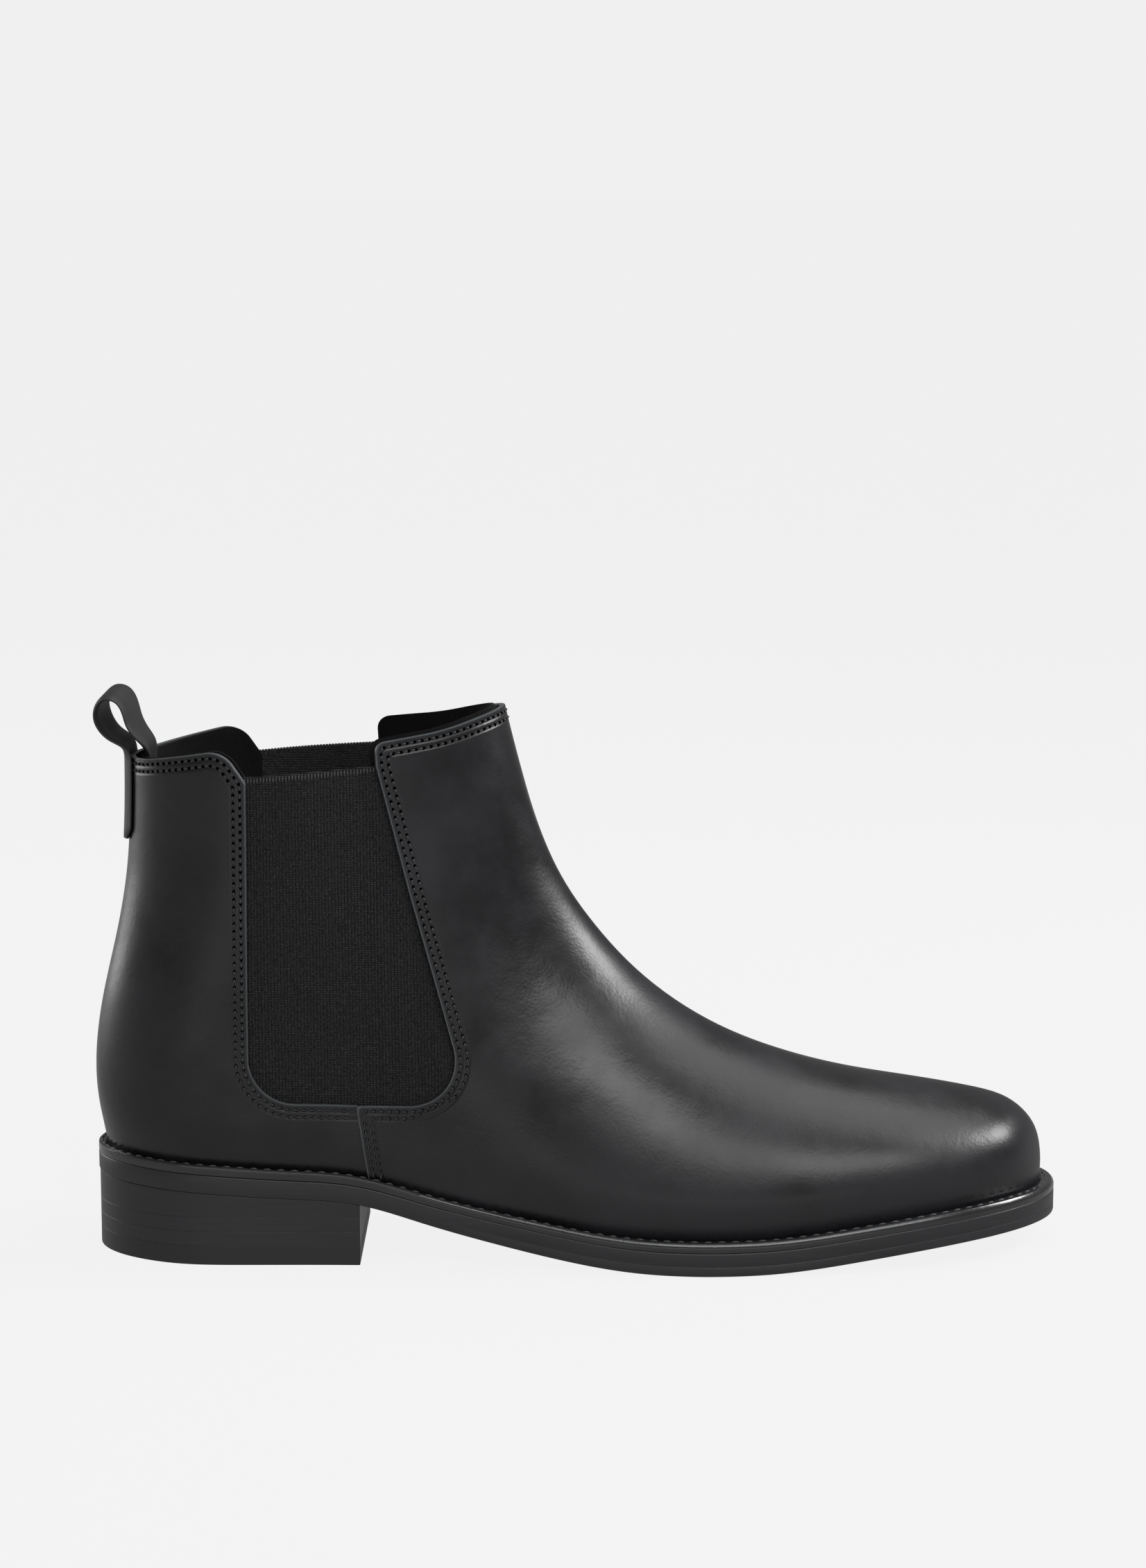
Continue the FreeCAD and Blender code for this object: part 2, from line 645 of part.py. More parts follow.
def make_heel():
    block = outline(lambda x: welt_edge(x) - HEEL_TUCK)
    block = block.common(Part.makeBox(2 * REACH, 2 * REACH, 2 * REACH,
                                      Vector(HEEL_BREAST * ALONG - 2 * REACH, -REACH, -REACH)))
    lowest = sole_bottom(HEEL_BREAST * ALONG)
    wedge_start = mix(TOP_LIFT, lowest, 0.7)
    lift = (wedge_start - TOP_LIFT) / 2
    levels = [0.0, TOP_LIFT, TOP_LIFT + lift, wedge_start]
    names = ["top_lift", "heel_lift_lower", "heel_lift_upper", "heel_lift_wedge"]
    centre = Vector(36.0 * ALONG, 0, 0)
    nails, holes = [], []
    for i in range(NAIL_COUNT):
        angle = math.radians(70 + 220 * i / (NAIL_COUNT - 1))
        ray = Vector(math.cos(angle), math.sin(angle), 0)
        reach = 0.0
        while block.isInside(centre + ray * (reach + NAIL_INSET), 0.01, True):
            reach += 0.5
        spot = centre + ray * reach
        nails.append(Part.makeCylinder(NAIL_RADIUS, NAIL_LENGTH, spot + Vector(0, 0, 1.0)))
        holes.append(Part.makeCylinder(NAIL_RADIUS + LAYER_GAP, NAIL_LENGTH + 1.0 + LAYER_GAP, spot))
    slices = [level_slice(low, high - LAYER_GAP) for low, high in zip(levels, levels[1:])]
    wedge_end = (HEEL_BREAST + 5) * ALONG
    slices.append(layer(fixed(wedge_start), lowered(sole_bottom, LAYER_GAP), SOLE_START, wedge_end))
    for name, room in zip(names, slices):
        keep(name, block.common(room).cut(Part.makeCompound(holes)))
    keep("heel_nails", Part.makeCompound(nails))


# ---------------------------------------------------------------- upper pieces

def make_upper():
    opening = pattern(OPENING)
    foot = above(lowered(outsole_top, -2 * LAYER_GAP))
    inner_foot_line = above(above_welt(LAYER_GAP))
    front = pattern(FRONT_PANEL).cut(opening).common(foot)
    back = pattern(BACK_PANEL).cut(opening).common(foot)
    middle_depth = LEATHER + LAYER_GAP
    lining_depth = middle_depth + GORE + LAYER_GAP

    leather = sleeve(0.0, LEATHER)
    vamp = leather.common(front)
    keep("vamp_shaft", vamp.common(REAR_OF_FLEX))
    keep("vamp_flex_zone", vamp.common(FLEX_WEDGE))
    keep("vamp_toe", vamp.common(FRONT_OF_FLEX))
    quarter = leather.common(back)
    keep("back_quarter_upper", quarter.common(UPPER_BACK))
    keep("back_quarter_lower", quarter.common(LOWER_BACK))

    lining = sleeve(lining_depth, LINING).common(inner_foot_line)
    front_lining = lining.common(front)
    keep("front_lining_shaft", front_lining.common(REAR_OF_FLEX))
    keep("front_lining_flex_zone", front_lining.common(FLEX_WEDGE))
    keep("front_lining_toe", front_lining.common(FRONT_OF_FLEX))
    back_lining = lining.common(back)
    keep("quarter_lining_upper", back_lining.common(UPPER_BACK))
    keep("quarter_lining_lower", back_lining.common(LOWER_BACK))

    elastic = sleeve(middle_depth, GORE)
    panel = grown(OPENING, GORE_MARGIN)
    keep("gore_outer", elastic.common(pattern(panel, -REACH, 0.0)))
    keep("gore_inner", elastic.common(pattern(panel, 0.0, REACH)))

    stiff = sleeve(middle_depth, STIFFENER).common(inner_foot_line)
    puff_edge = PUFF_START * ALONG
    puff = Part.makeBox(REACH, 2 * REACH, 2 * REACH, Vector(puff_edge, -REACH, -REACH))
    keep("toe_puff", stiff.common(puff))
    counter_top = [(-30.0, 29.0 + COUNTER_HEIGHT), (22.0, 28.0 + COUNTER_HEIGHT, 30.0),
                   (40.6, 48.0, 20.0), (66.0, 36.0, 10.0), (80.0, 10.0), (-30.0, 10.0)]
    keep("heel_counter", stiff.common(pattern(counter_top)))


# ---------------------------------------------------------------- pull tab

LOOP_LINE = [(9.9, 159.0), (6.6, 161.6), (3.9, 166.0), (3.3, 170.4), (5.6, 174.2), (9.3, 174.0),
             (11.9, 170.6), (13.3, 165.6), (14.9, 161.9), (17.2, 159.0)]


def make_pull_tab():
    strip = Part.makeBox(2 * REACH, STRAP_WIDTH, 2 * REACH, Vector(-REACH, -STRAP_WIDTH / 2, -REACH))
    top = LOOP_PIVOT_Z - 0.6
    upright = pattern([(-20.0, 129.0), (30.0, 129.0), (30.0, top), (-20.0, top)])
    behind = strip.common(upright)
    keep("pull_tab_outer_leg", sleeve(-LAYER_GAP - STRAP, STRAP).common(behind))
    keep("pull_tab_inner_leg", sleeve(WALL + LAYER_GAP, STRAP).common(behind))

    line = [flat(*worn(x, z)) for x, z in LOOP_LINE]
    sides = ([], [])
    for i, p in enumerate(line):
        before, after = line[max(i - 1, 0)], line[min(i + 1, len(line) - 1)]
        across = Vector((after - before).z, 0, -(after - before).x)
        across.normalize()
        sides[0].append(p + across * (STRAP / 2))
        sides[1].append(p - across * (STRAP / 2))
    ends = [Part.makeLine(sides[0][-1], sides[1][-1]), Part.makeLine(sides[1][0], sides[0][0])]
    keep("pull_loop", prism([curve_edge(sides[0]), ends[0], curve_edge(sides[1]), ends[1]],
                            -STRAP_WIDTH / 2, STRAP_WIDTH / 2))


# ---------------------------------------------------------------- frame and files

def main():
    make_bottom()
    make_heel()
    make_upper()
    make_pull_tab()
    box = Part.makeCompound([s for solids in nodes.values() for s in solids]).optimalBoundingBox()
    shift = Vector(-(box.XMin + box.XMax) / 2, -(box.YMin + box.YMax) / 2, -box.ZMin)
    os.makedirs("parts", exist_ok=True)
    for name, solids in nodes.items():
        shape = solids[0] if len(solids) == 1 else Part.makeCompound(solids)
        shape.translate(shift)
        shape.exportStep(os.path.join("parts", name + ".step"))
        b = shape.optimalBoundingBox()
        volume = sum(s.Volume for s in solids)
        print(f"{name:26s} {len(solids)} solid(s) {volume:10.1f} mm3  x {b.XMin:.1f}..{b.XMax:.1f}"
              f"  y {b.YMin:.1f}..{b.YMax:.1f}  z {b.ZMin:.1f}..{b.ZMax:.1f}  valid {shape.isValid()}")
    print("shift", [round(v, 3) for v in shift], "size", round(box.XLength, 2), round(box.YLength, 2),
          round(box.ZLength, 2))
    print("toe flex axis", round(flex_x + shift.x, 3), round(FLEX_Z + shift.z, 3))
    print("collar spread axis", round(LEAN_X + shift.x, 3), round(LEAN_Z + shift.z, 3))
    loop_x, loop_z = worn(14.0, LOOP_PIVOT_Z)
    print("pull loop axis", round(loop_x + shift.x, 3), round(loop_z + shift.z, 3))


main()
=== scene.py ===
# %% [markdown]
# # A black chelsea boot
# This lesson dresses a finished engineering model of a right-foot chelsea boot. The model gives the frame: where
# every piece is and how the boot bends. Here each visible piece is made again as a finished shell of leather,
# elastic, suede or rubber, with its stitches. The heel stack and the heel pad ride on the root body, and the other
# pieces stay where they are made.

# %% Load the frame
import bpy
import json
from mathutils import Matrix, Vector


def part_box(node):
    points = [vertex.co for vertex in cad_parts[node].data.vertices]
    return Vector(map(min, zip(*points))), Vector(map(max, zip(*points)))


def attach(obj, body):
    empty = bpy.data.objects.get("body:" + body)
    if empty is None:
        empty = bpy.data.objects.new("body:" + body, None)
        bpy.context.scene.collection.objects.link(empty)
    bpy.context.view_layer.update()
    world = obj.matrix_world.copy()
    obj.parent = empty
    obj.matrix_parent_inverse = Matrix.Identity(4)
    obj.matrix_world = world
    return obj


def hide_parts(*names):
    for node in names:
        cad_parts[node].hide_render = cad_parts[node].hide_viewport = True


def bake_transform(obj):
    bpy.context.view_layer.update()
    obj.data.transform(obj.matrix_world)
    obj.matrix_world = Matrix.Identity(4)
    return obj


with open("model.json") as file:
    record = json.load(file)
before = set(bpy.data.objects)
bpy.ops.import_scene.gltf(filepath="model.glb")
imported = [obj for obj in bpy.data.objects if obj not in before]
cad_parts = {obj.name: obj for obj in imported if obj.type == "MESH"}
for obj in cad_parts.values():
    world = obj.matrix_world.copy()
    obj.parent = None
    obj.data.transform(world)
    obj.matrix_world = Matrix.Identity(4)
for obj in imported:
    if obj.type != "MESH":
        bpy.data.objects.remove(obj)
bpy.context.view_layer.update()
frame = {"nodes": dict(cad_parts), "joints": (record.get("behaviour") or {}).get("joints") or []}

import json
import math

import bmesh
import bpy
import numpy as np
from mathutils import Vector
from mathutils.geometry import delaunay_2d_cdt
from mathutils.kdtree import KDTree

# %% [markdown]
# The boot is drawn in millimetres from the back of the heel, as a pattern cutter draws it. Two joints of
# the frame tell where that drawing lies: the sole bends 196 mm in front of the heel's back, and the pull
# loop swings on the drawing's middle plane.

# %% The drawing's place in the frame
MM = 0.001
FLEX_X = 196.0
joints = {joint["name"]: joint for joint in frame["joints"]}
SHIFT = Vector((joints["toe_flex"]["pos_m"][0] - FLEX_X * MM, joints["pull_loop_swing"]["pos_m"][1], 0.0))


def placed(points):
    """Drawing points in millimetres, in the frame's metres."""
    return np.asarray(points, float) * MM + np.array(SHIFT)


print("the drawing's zero is at", [round(v, 4) for v in SHIFT])

# %% [markdown]
# Curves through a few chosen points describe every profile of the last, the wooden foot that a boot is
# built on. A natural cubic is the curve that a thin wooden batten takes, so it has no flat spots.

# %% A batten curve
def smooth(points):
    """A natural cubic y(x) through the points, straight beyond its ends."""
    xs, ys = np.array(points, float).T
    step = np.diff(xs)
    matrix, right = np.eye(len(xs)), np.zeros(len(xs))
    for i in range(1, len(xs) - 1):
        matrix[i, i - 1:i + 2] = step[i - 1], 2 * (step[i - 1] + step[i]), step[i]
        right[i] = 6 * ((ys[i + 1] - ys[i]) / step[i] - (ys[i] - ys[i - 1]) / step[i - 1])
    bend = np.linalg.solve(matrix, right)

    def value(x):
        x = np.asarray(x, float)
        i = np.clip(np.searchsorted(xs, x) - 1, 0, len(xs) - 2)
        inside, h = np.clip(x, xs[0], xs[-1]), step[i]
        a = (xs[i + 1] - inside) / h
        b = 1 - a
        y = a * ys[i] + b * ys[i + 1] + ((a ** 3 - a) * bend[i] + (b ** 3 - b) * bend[i + 1]) * h * h / 6
        slope = (ys[i + 1] - ys[i]) / h + ((1 - 3 * a * a) * bend[i] + (3 * b * b - 1) * bend[i + 1]) * h / 6
        return y + slope * (x - inside)

    return value


def ease(t):
    t = np.clip(t, 0.0, 1.0)
    return t * t * (3 - 2 * t)


def mix(a, b, t):
    return a + (b - a) * t

# %% [markdown]
# The sole's side view: a heel seat, a slope through the waist, the ball on the floor, and a toe that
# lifts a little, so that the boot rolls forward as it walks.

# %% The sole in side view
SOLE_LENGTH, HEEL_HEIGHT, TOE_SPRING = 303.0, 24.0, 9.0
OUTSOLE_FORE, OUTSOLE_REAR, WELT = 7.4, 5.9, 3.1
HEEL_BREAST, TOP_LIFT = 83.8, 6.0
rear_line = smooth([(-0.05, 1.01), (0.0, 1.0), (0.1, 0.955), (0.2, 0.875), (0.277, 0.79), (0.343, 0.557),
                    (0.406, 0.352), (0.475, 0.172), (0.548, 0.04), (0.63, 0.0), (0.7, 0.0)])
toe_line = smooth([(0.55, 0.0), (0.63, 0.0), (0.70, 0.07), (0.785, 0.38), (0.87, 0.70), (0.947, 0.90),
                   (1.0, 0.99), (1.05, 1.07)])


def sole_bottom(x):
    share = np.asarray(x, float) / SOLE_LENGTH
    rear = HEEL_HEIGHT * np.maximum(rear_line(share), 0.0)
    return np.where(share < 0.63, rear, TOE_SPRING * np.maximum(toe_line(share), 0.0))


def outsole_top(x):
    return sole_bottom(x) + mix(OUTSOLE_REAR, OUTSOLE_FORE, ease((np.asarray(x) / SOLE_LENGTH - 0.26) / 0.24))


def welt_top(x):
    return outsole_top(x) + WELT


print("welt height at the heel, ball and toe:", [round(float(welt_top(x)), 1) for x in (24, 196, 300)], "mm")

# %% [markdown]
# The upper is one smooth surface. Eighteen rings climb from the welt to the collar; each runs from the
# back profile to the front profile, and its width closes like a dome at both ends. Two curves along the
# foot give the outer and the inner side, because a foot is not symmetrical.

# %% The last's profiles
FRONT = [(296.8, 14.5), (298.1, 20.5), (298.2, 27.5), (296.4, 35.5), (290.6, 42.3), (280.1, 46.8),
         (262.5, 49.9), (240.0, 53.6), (215.0, 60.4), (192.0, 70.6), (172.0, 84.8), (157.0, 100.8),
         (146.3, 116.5), (139.4, 132.0), (135.0, 146.0), (131.3, 160.0), (128.6, 171.3), (126.8, 180.0)]
BACK_HEIGHTS = [27.0, 33.0, 38.0, 44.0, 50.0, 56.0, 63.0, 71.0, 80.0, 90.0, 101.0, 112.0, 122.0, 132.0,
                141.0, 150.0, 159.0, 168.0]
RINGS, STEPS = len(FRONT), 20
front_x = smooth([(i, p[0]) for i, p in enumerate(FRONT)])
front_z = smooth([(i, p[1]) for i, p in enumerate(FRONT)])
back_height = smooth(list(enumerate(BACK_HEIGHTS)))
back_x = smooth([(27, 3.4), (36, 2.0), (46, 0.2), (60, -0.4), (78, 1.9), (98, 6.5), (118, 10.2),
                 (138, 11.7), (158, 12.0), (176, 11.8)])
roof_z = smooth([(x, z) for x, z in reversed(FRONT[3:12])])
shaft_front_x = smooth([(z, x) for x, z in FRONT[11:]])
toe_front_x = smooth([(z, x) for x, z in FRONT[:3]] + [(34.0, 298.4), (60.0, 298.4)])
FAN_X, FAN_Z = 250.0, 175.0
fan_radius = smooth(sorted((math.degrees(math.atan2(FAN_Z - z, FAN_X - x)), math.hypot(FAN_X - x, FAN_Z - z))
                           for x, z in FRONT[7:17] + [(FAN_X, float(roof_z(FAN_X)))]))
fan_depth = smooth([(0, 72), (25, 74), (45, 74), (62, 60), (75, 43), (84, 34), (90, 29)])
toe_depth = smooth([(250, 29), (265, 26), (280, 21), (290, 16), (299, 11)])
pinch = smooth([(0, 0.16), (25, 0.18), (45, 0.20), (70, 0.10), (90, 0.0)])
outer_foot = smooth([(0, 32.5), (35, 34.0), (70, 34.0), (105, 35.8), (140, 41.5), (175, 47.4), (200, 48.8),
                     (225, 47.2), (250, 43.5), (300, 37.0)])
inner_foot = smooth([(0, 32.5), (35, 34.0), (70, 33.2), (105, 33.0), (140, 37.0), (175, 45.0), (200, 49.5),
                     (225, 49.5), (250, 45.5), (300, 38.0)])
heel_depth = smooth([(27, 37), (60, 39), (100, 46), (130, 50), (175, 50)])
swing = smooth([(0, 0), (120, 0), (180, 0.6), (240, 2.6), (300, 5.0)])
SHAFT_HALF_WIDTH = 35.0
TOE_ROUND_START, TOE_ROUNDNESS = 230.0, 2.7
LOWER_TUCK, WIDEST_ABOVE_WELT = 0.075, 14.0


# %% Width of the last at a point of its side view
def dome(t, pinched=0.0):
    rest = 1 - np.clip(t, 0.0, 1.0)
    return np.sqrt(np.maximum(1 - rest * rest, 0.0)) * (1 - pinched * rest * rest)


def front_closing(x, z):
    if z > FAN_Z:
        return dome((shaft_front_x(z) - x) / fan_depth(0), pinch(0))
    if x > FAN_X:
        return dome((roof_z(x) - z) / toe_depth(x))
    angle = math.degrees(math.atan2(FAN_Z - z, FAN_X - x))
    depth = math.hypot(FAN_X - x, FAN_Z - z) - fan_radius(angle)
    return dome(depth / fan_depth(angle), pinch(angle))


def half_width(x, z, side):
    foot = outer_foot(x) if side < 0 else inner_foot(x)
    width = mix(foot, SHAFT_HALF_WIDTH, ease((z - 55) / 60))
    width *= dome((x - back_x(z)) / heel_depth(z)) * front_closing(x, z)
    toe = (x - TOE_ROUND_START) / (toe_front_x(z) - TOE_ROUND_START)
    if toe > 0:
        width *= math.sqrt(max(1 - toe ** TOE_ROUNDNESS, 0.0))
    below = welt_top(x) + WIDEST_ABOVE_WELT - z
    if below > 0:
        width *= 1 - LOWER_TUCK * (below / WIDEST_ABOVE_WELT) ** 2
    return float(width)


def ring_line(ring, share):
    """A ring's point in side view: share runs from the back to the front."""
    z0, x1, z1 = back_height(ring), front_x(ring), front_z(ring)
    x0 = back_x(z0)
    x, z = mix(x0, x1, share), mix(z0, z1, share)
    sag = welt_top(x) - mix(welt_top(x0), welt_top(x1), share)
    return x, z + sag * np.maximum(1 - ring / (RINGS - 1), 0.0) ** 2.2


def surface_point(ring, turn):
    side = -1 if turn <= STEPS else 1
    k = turn if side < 0 else 2 * STEPS - turn
    x, z = ring_line(ring, (1 - math.cos(math.pi * k / STEPS)) / 2)
    width = half_width(float(x), float(z), side) if 0 < k < STEPS else 0.0
    return float(x), float(swing(x)) + side * width, float(z)


GRID = np.array([[surface_point(ring, turn) for ring in range(RINGS)] for turn in range(2 * STEPS)])
print("last grid", GRID.shape, "widest", round(float(np.ptp(GRID[..., 1])), 1), "mm")

# %% [markdown]
# The grid holds 720 points. A cubic spline in both directions fills the space between them, so any point
# of the surface, and its normal, can be read at a fractional ring and turn. Turn 0 is the back seam, 20
# the middle of the front; the outer side comes first.

# %% Any point of the surface
def spline_rows(t, count):
    """Rows of weights on (start slope, the points, end slope) for value and slope at t."""
    i = np.clip(np.floor(t).astype(int), 0, count - 2)
    s = (t - i)[:, None]
    matrix, right = np.eye(count), np.zeros((count, count + 2))
    right[0, 0] = right[-1, -1] = 1.0
    for k in range(1, count - 1):
        matrix[k, k - 1:k + 2] = 1, 4, 1
        right[k, k], right[k, k + 2] = -3, 3
    slopes, points = np.linalg.solve(matrix, right), np.eye(count + 2)[1:-1]
    value = (2 * s ** 3 - 3 * s * s + 1) * points[i] + (s ** 3 - 2 * s * s + s) * slopes[i]
    value += (3 * s * s - 2 * s ** 3) * points[i + 1] + (s ** 3 - s * s) * slopes[i + 1]
    slope = (6 * s * s - 6 * s) * (points[i] - points[i + 1]) + (3 * s * s - 4 * s + 1) * slopes[i]
    return value, slope + (3 * s * s - 2 * s) * slopes[i + 1]


RING_ENDS = np.vstack([np.eye(RINGS)[0] * -1.5 + np.eye(RINGS)[1] * 2 - np.eye(RINGS)[2] * 0.5, np.eye(RINGS),
                       np.eye(RINGS)[-1] * 1.5 - np.eye(RINGS)[-2] * 2 + np.eye(RINGS)[-3] * 0.5])
HALF = np.eye(STEPS + 3)
HALF_ENDS = np.vstack([(HALF[2] - HALF[0]) / 2, HALF[1:-1], (HALF[-1] - HALF[-3]) / 2])


def surface(turn, ring):
    """Point, slope along the turn and slope along the ring, in drawing millimetres."""
    turn, ring = (np.asarray(v, float).ravel() for v in np.broadcast_arrays(turn, ring))
    out = np.zeros((3, len(turn), 3))
    wrapped = turn % (2 * STEPS)
    up = [rows @ RING_ENDS for rows in spline_rows(ring, RINGS)]
    for first in (0, STEPS):
        mine = np.flatnonzero((wrapped >= STEPS) == (first > 0))
        if not len(mine):
            continue
        columns = GRID[(first + np.arange(-1, STEPS + 2)) % (2 * STEPS)]
        around = [rows @ HALF_ENDS for rows in spline_rows(wrapped[mine] - first, STEPS + 1)]
        for k, (a, b) in enumerate(((0, 0), (1, 0), (0, 1))):
            out[k, mine] = np.einsum("ni,nj,ijc->nc", around[a], up[b][mine], columns, optimize=True)
    return out


def unit(vectors):
    return vectors / np.maximum(np.linalg.norm(vectors, axis=-1, keepdims=True), 1e-12)


def skin(turn, ring, depth=0.0):
    """Point at a depth under the surface, and the outward normal."""
    point, along, up = surface(turn, ring)
    normal = unit(np.cross(along, up))
    return point - normal * np.reshape(depth, (-1, 1)), normal


def unrolled(x, z):
    """Turn and ring of side-view points on the outer side."""
    x, z = np.asarray(x, float), np.asarray(z, float)
    ring = np.full(x.shape, 8.0)

    def height(r):
        x0, x1 = back_x(back_height(r)), front_x(r)
        return ring_line(r, np.clip((x - x0) / (x1 - x0), 0.0, 1.0))[1]

    for _ in range(40):
        h = height(ring)
        ring = ring + np.clip((z - h) / (height(ring + 0.01) - h) * 0.01, -1.0, 1.0)
    x0, x1 = back_x(back_height(ring)), front_x(ring)
    share = np.clip((x - x0) / (x1 - x0), 0.0, 1.0)
    return np.arccos(1 - 2 * share) * STEPS / math.pi, ring


def ring_at(turn, height):
    """Ring of the surface at a turn, where its z equals height(x)."""
    ring = np.full(len(turn), 1.0)
    for _ in range(12):
        point, _, up = surface(turn, ring)
        ring += np.clip((height(point[:, 0]) - point[:, 2]) / up[:, 2], -0.5, 0.5)
    return ring


test_point = skin([5.0], [6.0])
print("a point of the surface", test_point[0].round(1), "its normal", test_point[1].round(2))

# %% [markdown]
# The pattern pieces. A cutter's paper pattern is a line with rounded corners, so an outline here is a few
# corners with radii. It is drawn in side view and then unrolled onto the surface, once for each side.

# %% Pattern outlines
GORE_FRONT, GORE_BACK = (89.6, 155.4), (50.6, 152.2)
GORE_CORNER = 14.0
SEAM_TOP, SEAM_FOOT = (82.9, 49.0), (88.8, 10.0)
VAMP_EDGE = [(128.6, 171.3), (110.3, 166.0, 80.0), (89.2, 163.1, 3.5), (89.6, 155.4), (99.4, 116.3, 400.0),
             (117.6, 50.8, GORE_CORNER), (82.9, 51.2, 0.8), SEAM_TOP, SEAM_FOOT]
QUARTER_EDGE = [(-30.0, 155.0), (14.0, 155.6, 60.0), (43.2, 161.2, 9.0), (50.6, 150.9), (50.3, 51.6, GORE_CORNER),
                (84.4, 51.2, 0.5), (84.4, 49.0), (90.3, 10.0)]


def rounded(corners, spacing=0.8):
    """Points along an open path whose corners are (x, z) or (x, z, radius)."""
    here = [np.array(c[:2], float) for c in corners]
    path = [here[0]]
    for i in range(1, len(corners) - 1):
        radius = corners[i][2] if len(corners[i]) > 2 else 0.0
        before, after = unit(here[i - 1] - here[i]), unit(here[i + 1] - here[i])
        if not radius:
            path.append(here[i])
            continue
        half = math.acos(np.clip(before @ after, -1, 1)) / 2
        centre = here[i] + unit(before + after) * radius / math.sin(half)
        start, end = here[i] + before * radius / math.tan(half), here[i] + after * radius / math.tan(half)
        arc = math.pi - 2 * half
        for k in range(max(int(radius * arc / spacing), 2) + 1):
            t = k / max(int(radius * arc / spacing), 2)
            chord = (start - centre) * math.sin((1 - t) * arc) + (end - centre) * math.sin(t * arc)
            path.append(centre + chord / math.sin(arc))
    path.append(here[-1])
    return even(np.array(path), spacing)


def even(path, spacing):
    """The same path with evenly spaced points."""
    run = np.concatenate([[0], np.cumsum(np.linalg.norm(np.diff(path, axis=0), axis=1))])
    count = max(int(round(run[-1] / spacing)), 1)
    at = np.linspace(0, run[-1], count + 1)
    return np.stack([np.interp(at, run, path[:, k]) for k in range(path.shape[1])], axis=1)


def under_foot(x):
    """The upper runs down behind the welt and ends just above the outsole."""
    return outsole_top(x) + 0.2


def cut_edge(corners):
    """An edge of a piece on the unrolled outer side, from the collar to the foot."""
    path = rounded(corners)
    keep = (path[:, 0] > back_x(path[:, 1])) & (path[:, 1] > under_foot(path[:, 0]))
    path = path[keep]
    return np.stack(unrolled(path[:, 0], path[:, 1]), axis=1)


def around_loop(edge, middle):
    """A whole piece's outline: its edge on both sides and its foot, symmetrical about a turn."""
    edge = edge.copy()
    edge[0, 0] = middle
    foot_turns = np.linspace(edge[-1, 0], middle, 160)[1:]
    foot = np.stack([foot_turns, ring_at(foot_turns, under_foot)], axis=1)
    side = np.vstack([edge, foot])
    other = side[1:-1][::-1] * [-1, 1] + [2 * middle, 0]
    loop = np.vstack([side, other])
    on_edge = np.zeros(len(loop), bool)
    on_edge[:len(edge)] = True
    on_edge[len(loop) - len(edge) + 1:] = True
    return loop, on_edge


vamp_edge, quarter_edge = cut_edge(VAMP_EDGE), cut_edge(QUARTER_EDGE)
vamp_loop, vamp_cut = around_loop(vamp_edge, float(STEPS))
quarter_loop, quarter_cut = around_loop(quarter_edge, 0.0)
quarter_cut &= surface(quarter_loop[:, 0], quarter_loop[:, 1])[0][:, 2] > SEAM_TOP[1] + 2.0
print("vamp outline", len(vamp_loop), "points, quarter outline", len(quarter_loop), "points")

# %% [markdown]
# A piece of leather is a sheet with a real thickness, and its cut edges are slightly rounded. The outline
# and a lattice of inner points are joined into triangles on the unrolled plan, the plan is laid on the
# surface twice, once for each face, and narrow strips round the edge between the two.

# %% A sheet with thickness
CUT_REACH = 12.0           # beyond this distance from a cut edge, nothing depends on it
PLAN_SCALE = 8.0           # makes a turn or a ring of the plan about as long as it is in millimetres
UNDER_EDGE = 0.15          # rounding of the edge on the flesh side


def triangles(loop, inner):
    """Triangles inside a closed outline, through all its points and the inner points."""
    points = [Vector(p) for p in np.vstack([loop, inner])]
    made = delaunay_2d_cdt(points, [], [list(range(len(loop)))], 1, 1e-7)
    source = [ids[0] if ids else -1 for ids in made[3]]
    faces = [[source[v] for v in face] for face in made[2]]
    return [face for face in faces if min(face) >= 0]


def new_mesh(name, points, faces, values=None, sharp=40.0):
    """A closed mesh from drawing points, with its faces turned outwards and its loose points gone."""
    mesh = bpy.data.meshes.new(name)
    mesh.from_pydata(placed(points).tolist(), [], faces)
    for key, numbers in (values or {}).items():
        mesh.attributes.new(key, "FLOAT", "POINT").data.foreach_set("value", np.asarray(numbers, np.float32))
    work = bmesh.new()
    work.from_mesh(mesh)
    bmesh.ops.delete(work, geom=[v for v in work.verts if not v.link_faces], context="VERTS")
    bmesh.ops.recalc_face_normals(work, faces=work.faces)
    if work.calc_volume(signed=True) < 0:
        bmesh.ops.reverse_faces(work, faces=work.faces)
    work.to_mesh(mesh)
    work.free()
    mesh.shade_smooth()
    mesh.set_sharp_from_angle(angle=math.radians(sharp))
    return mesh


def bands(rows, count):
    """Quads between neighbouring rings of points; rows lists where each ring starts."""
    return [[a + i, a + (i + 1) % count, b + (i + 1) % count, b + i]
            for a, b in zip(rows, rows[1:]) for i in range(count)]


def nearest(points, targets):
    tree = KDTree(len(targets))
    for i, p in enumerate(targets):
        tree.insert(p, i)
    tree.balance()
    return np.array([tree.find(p)[2] for p in points])


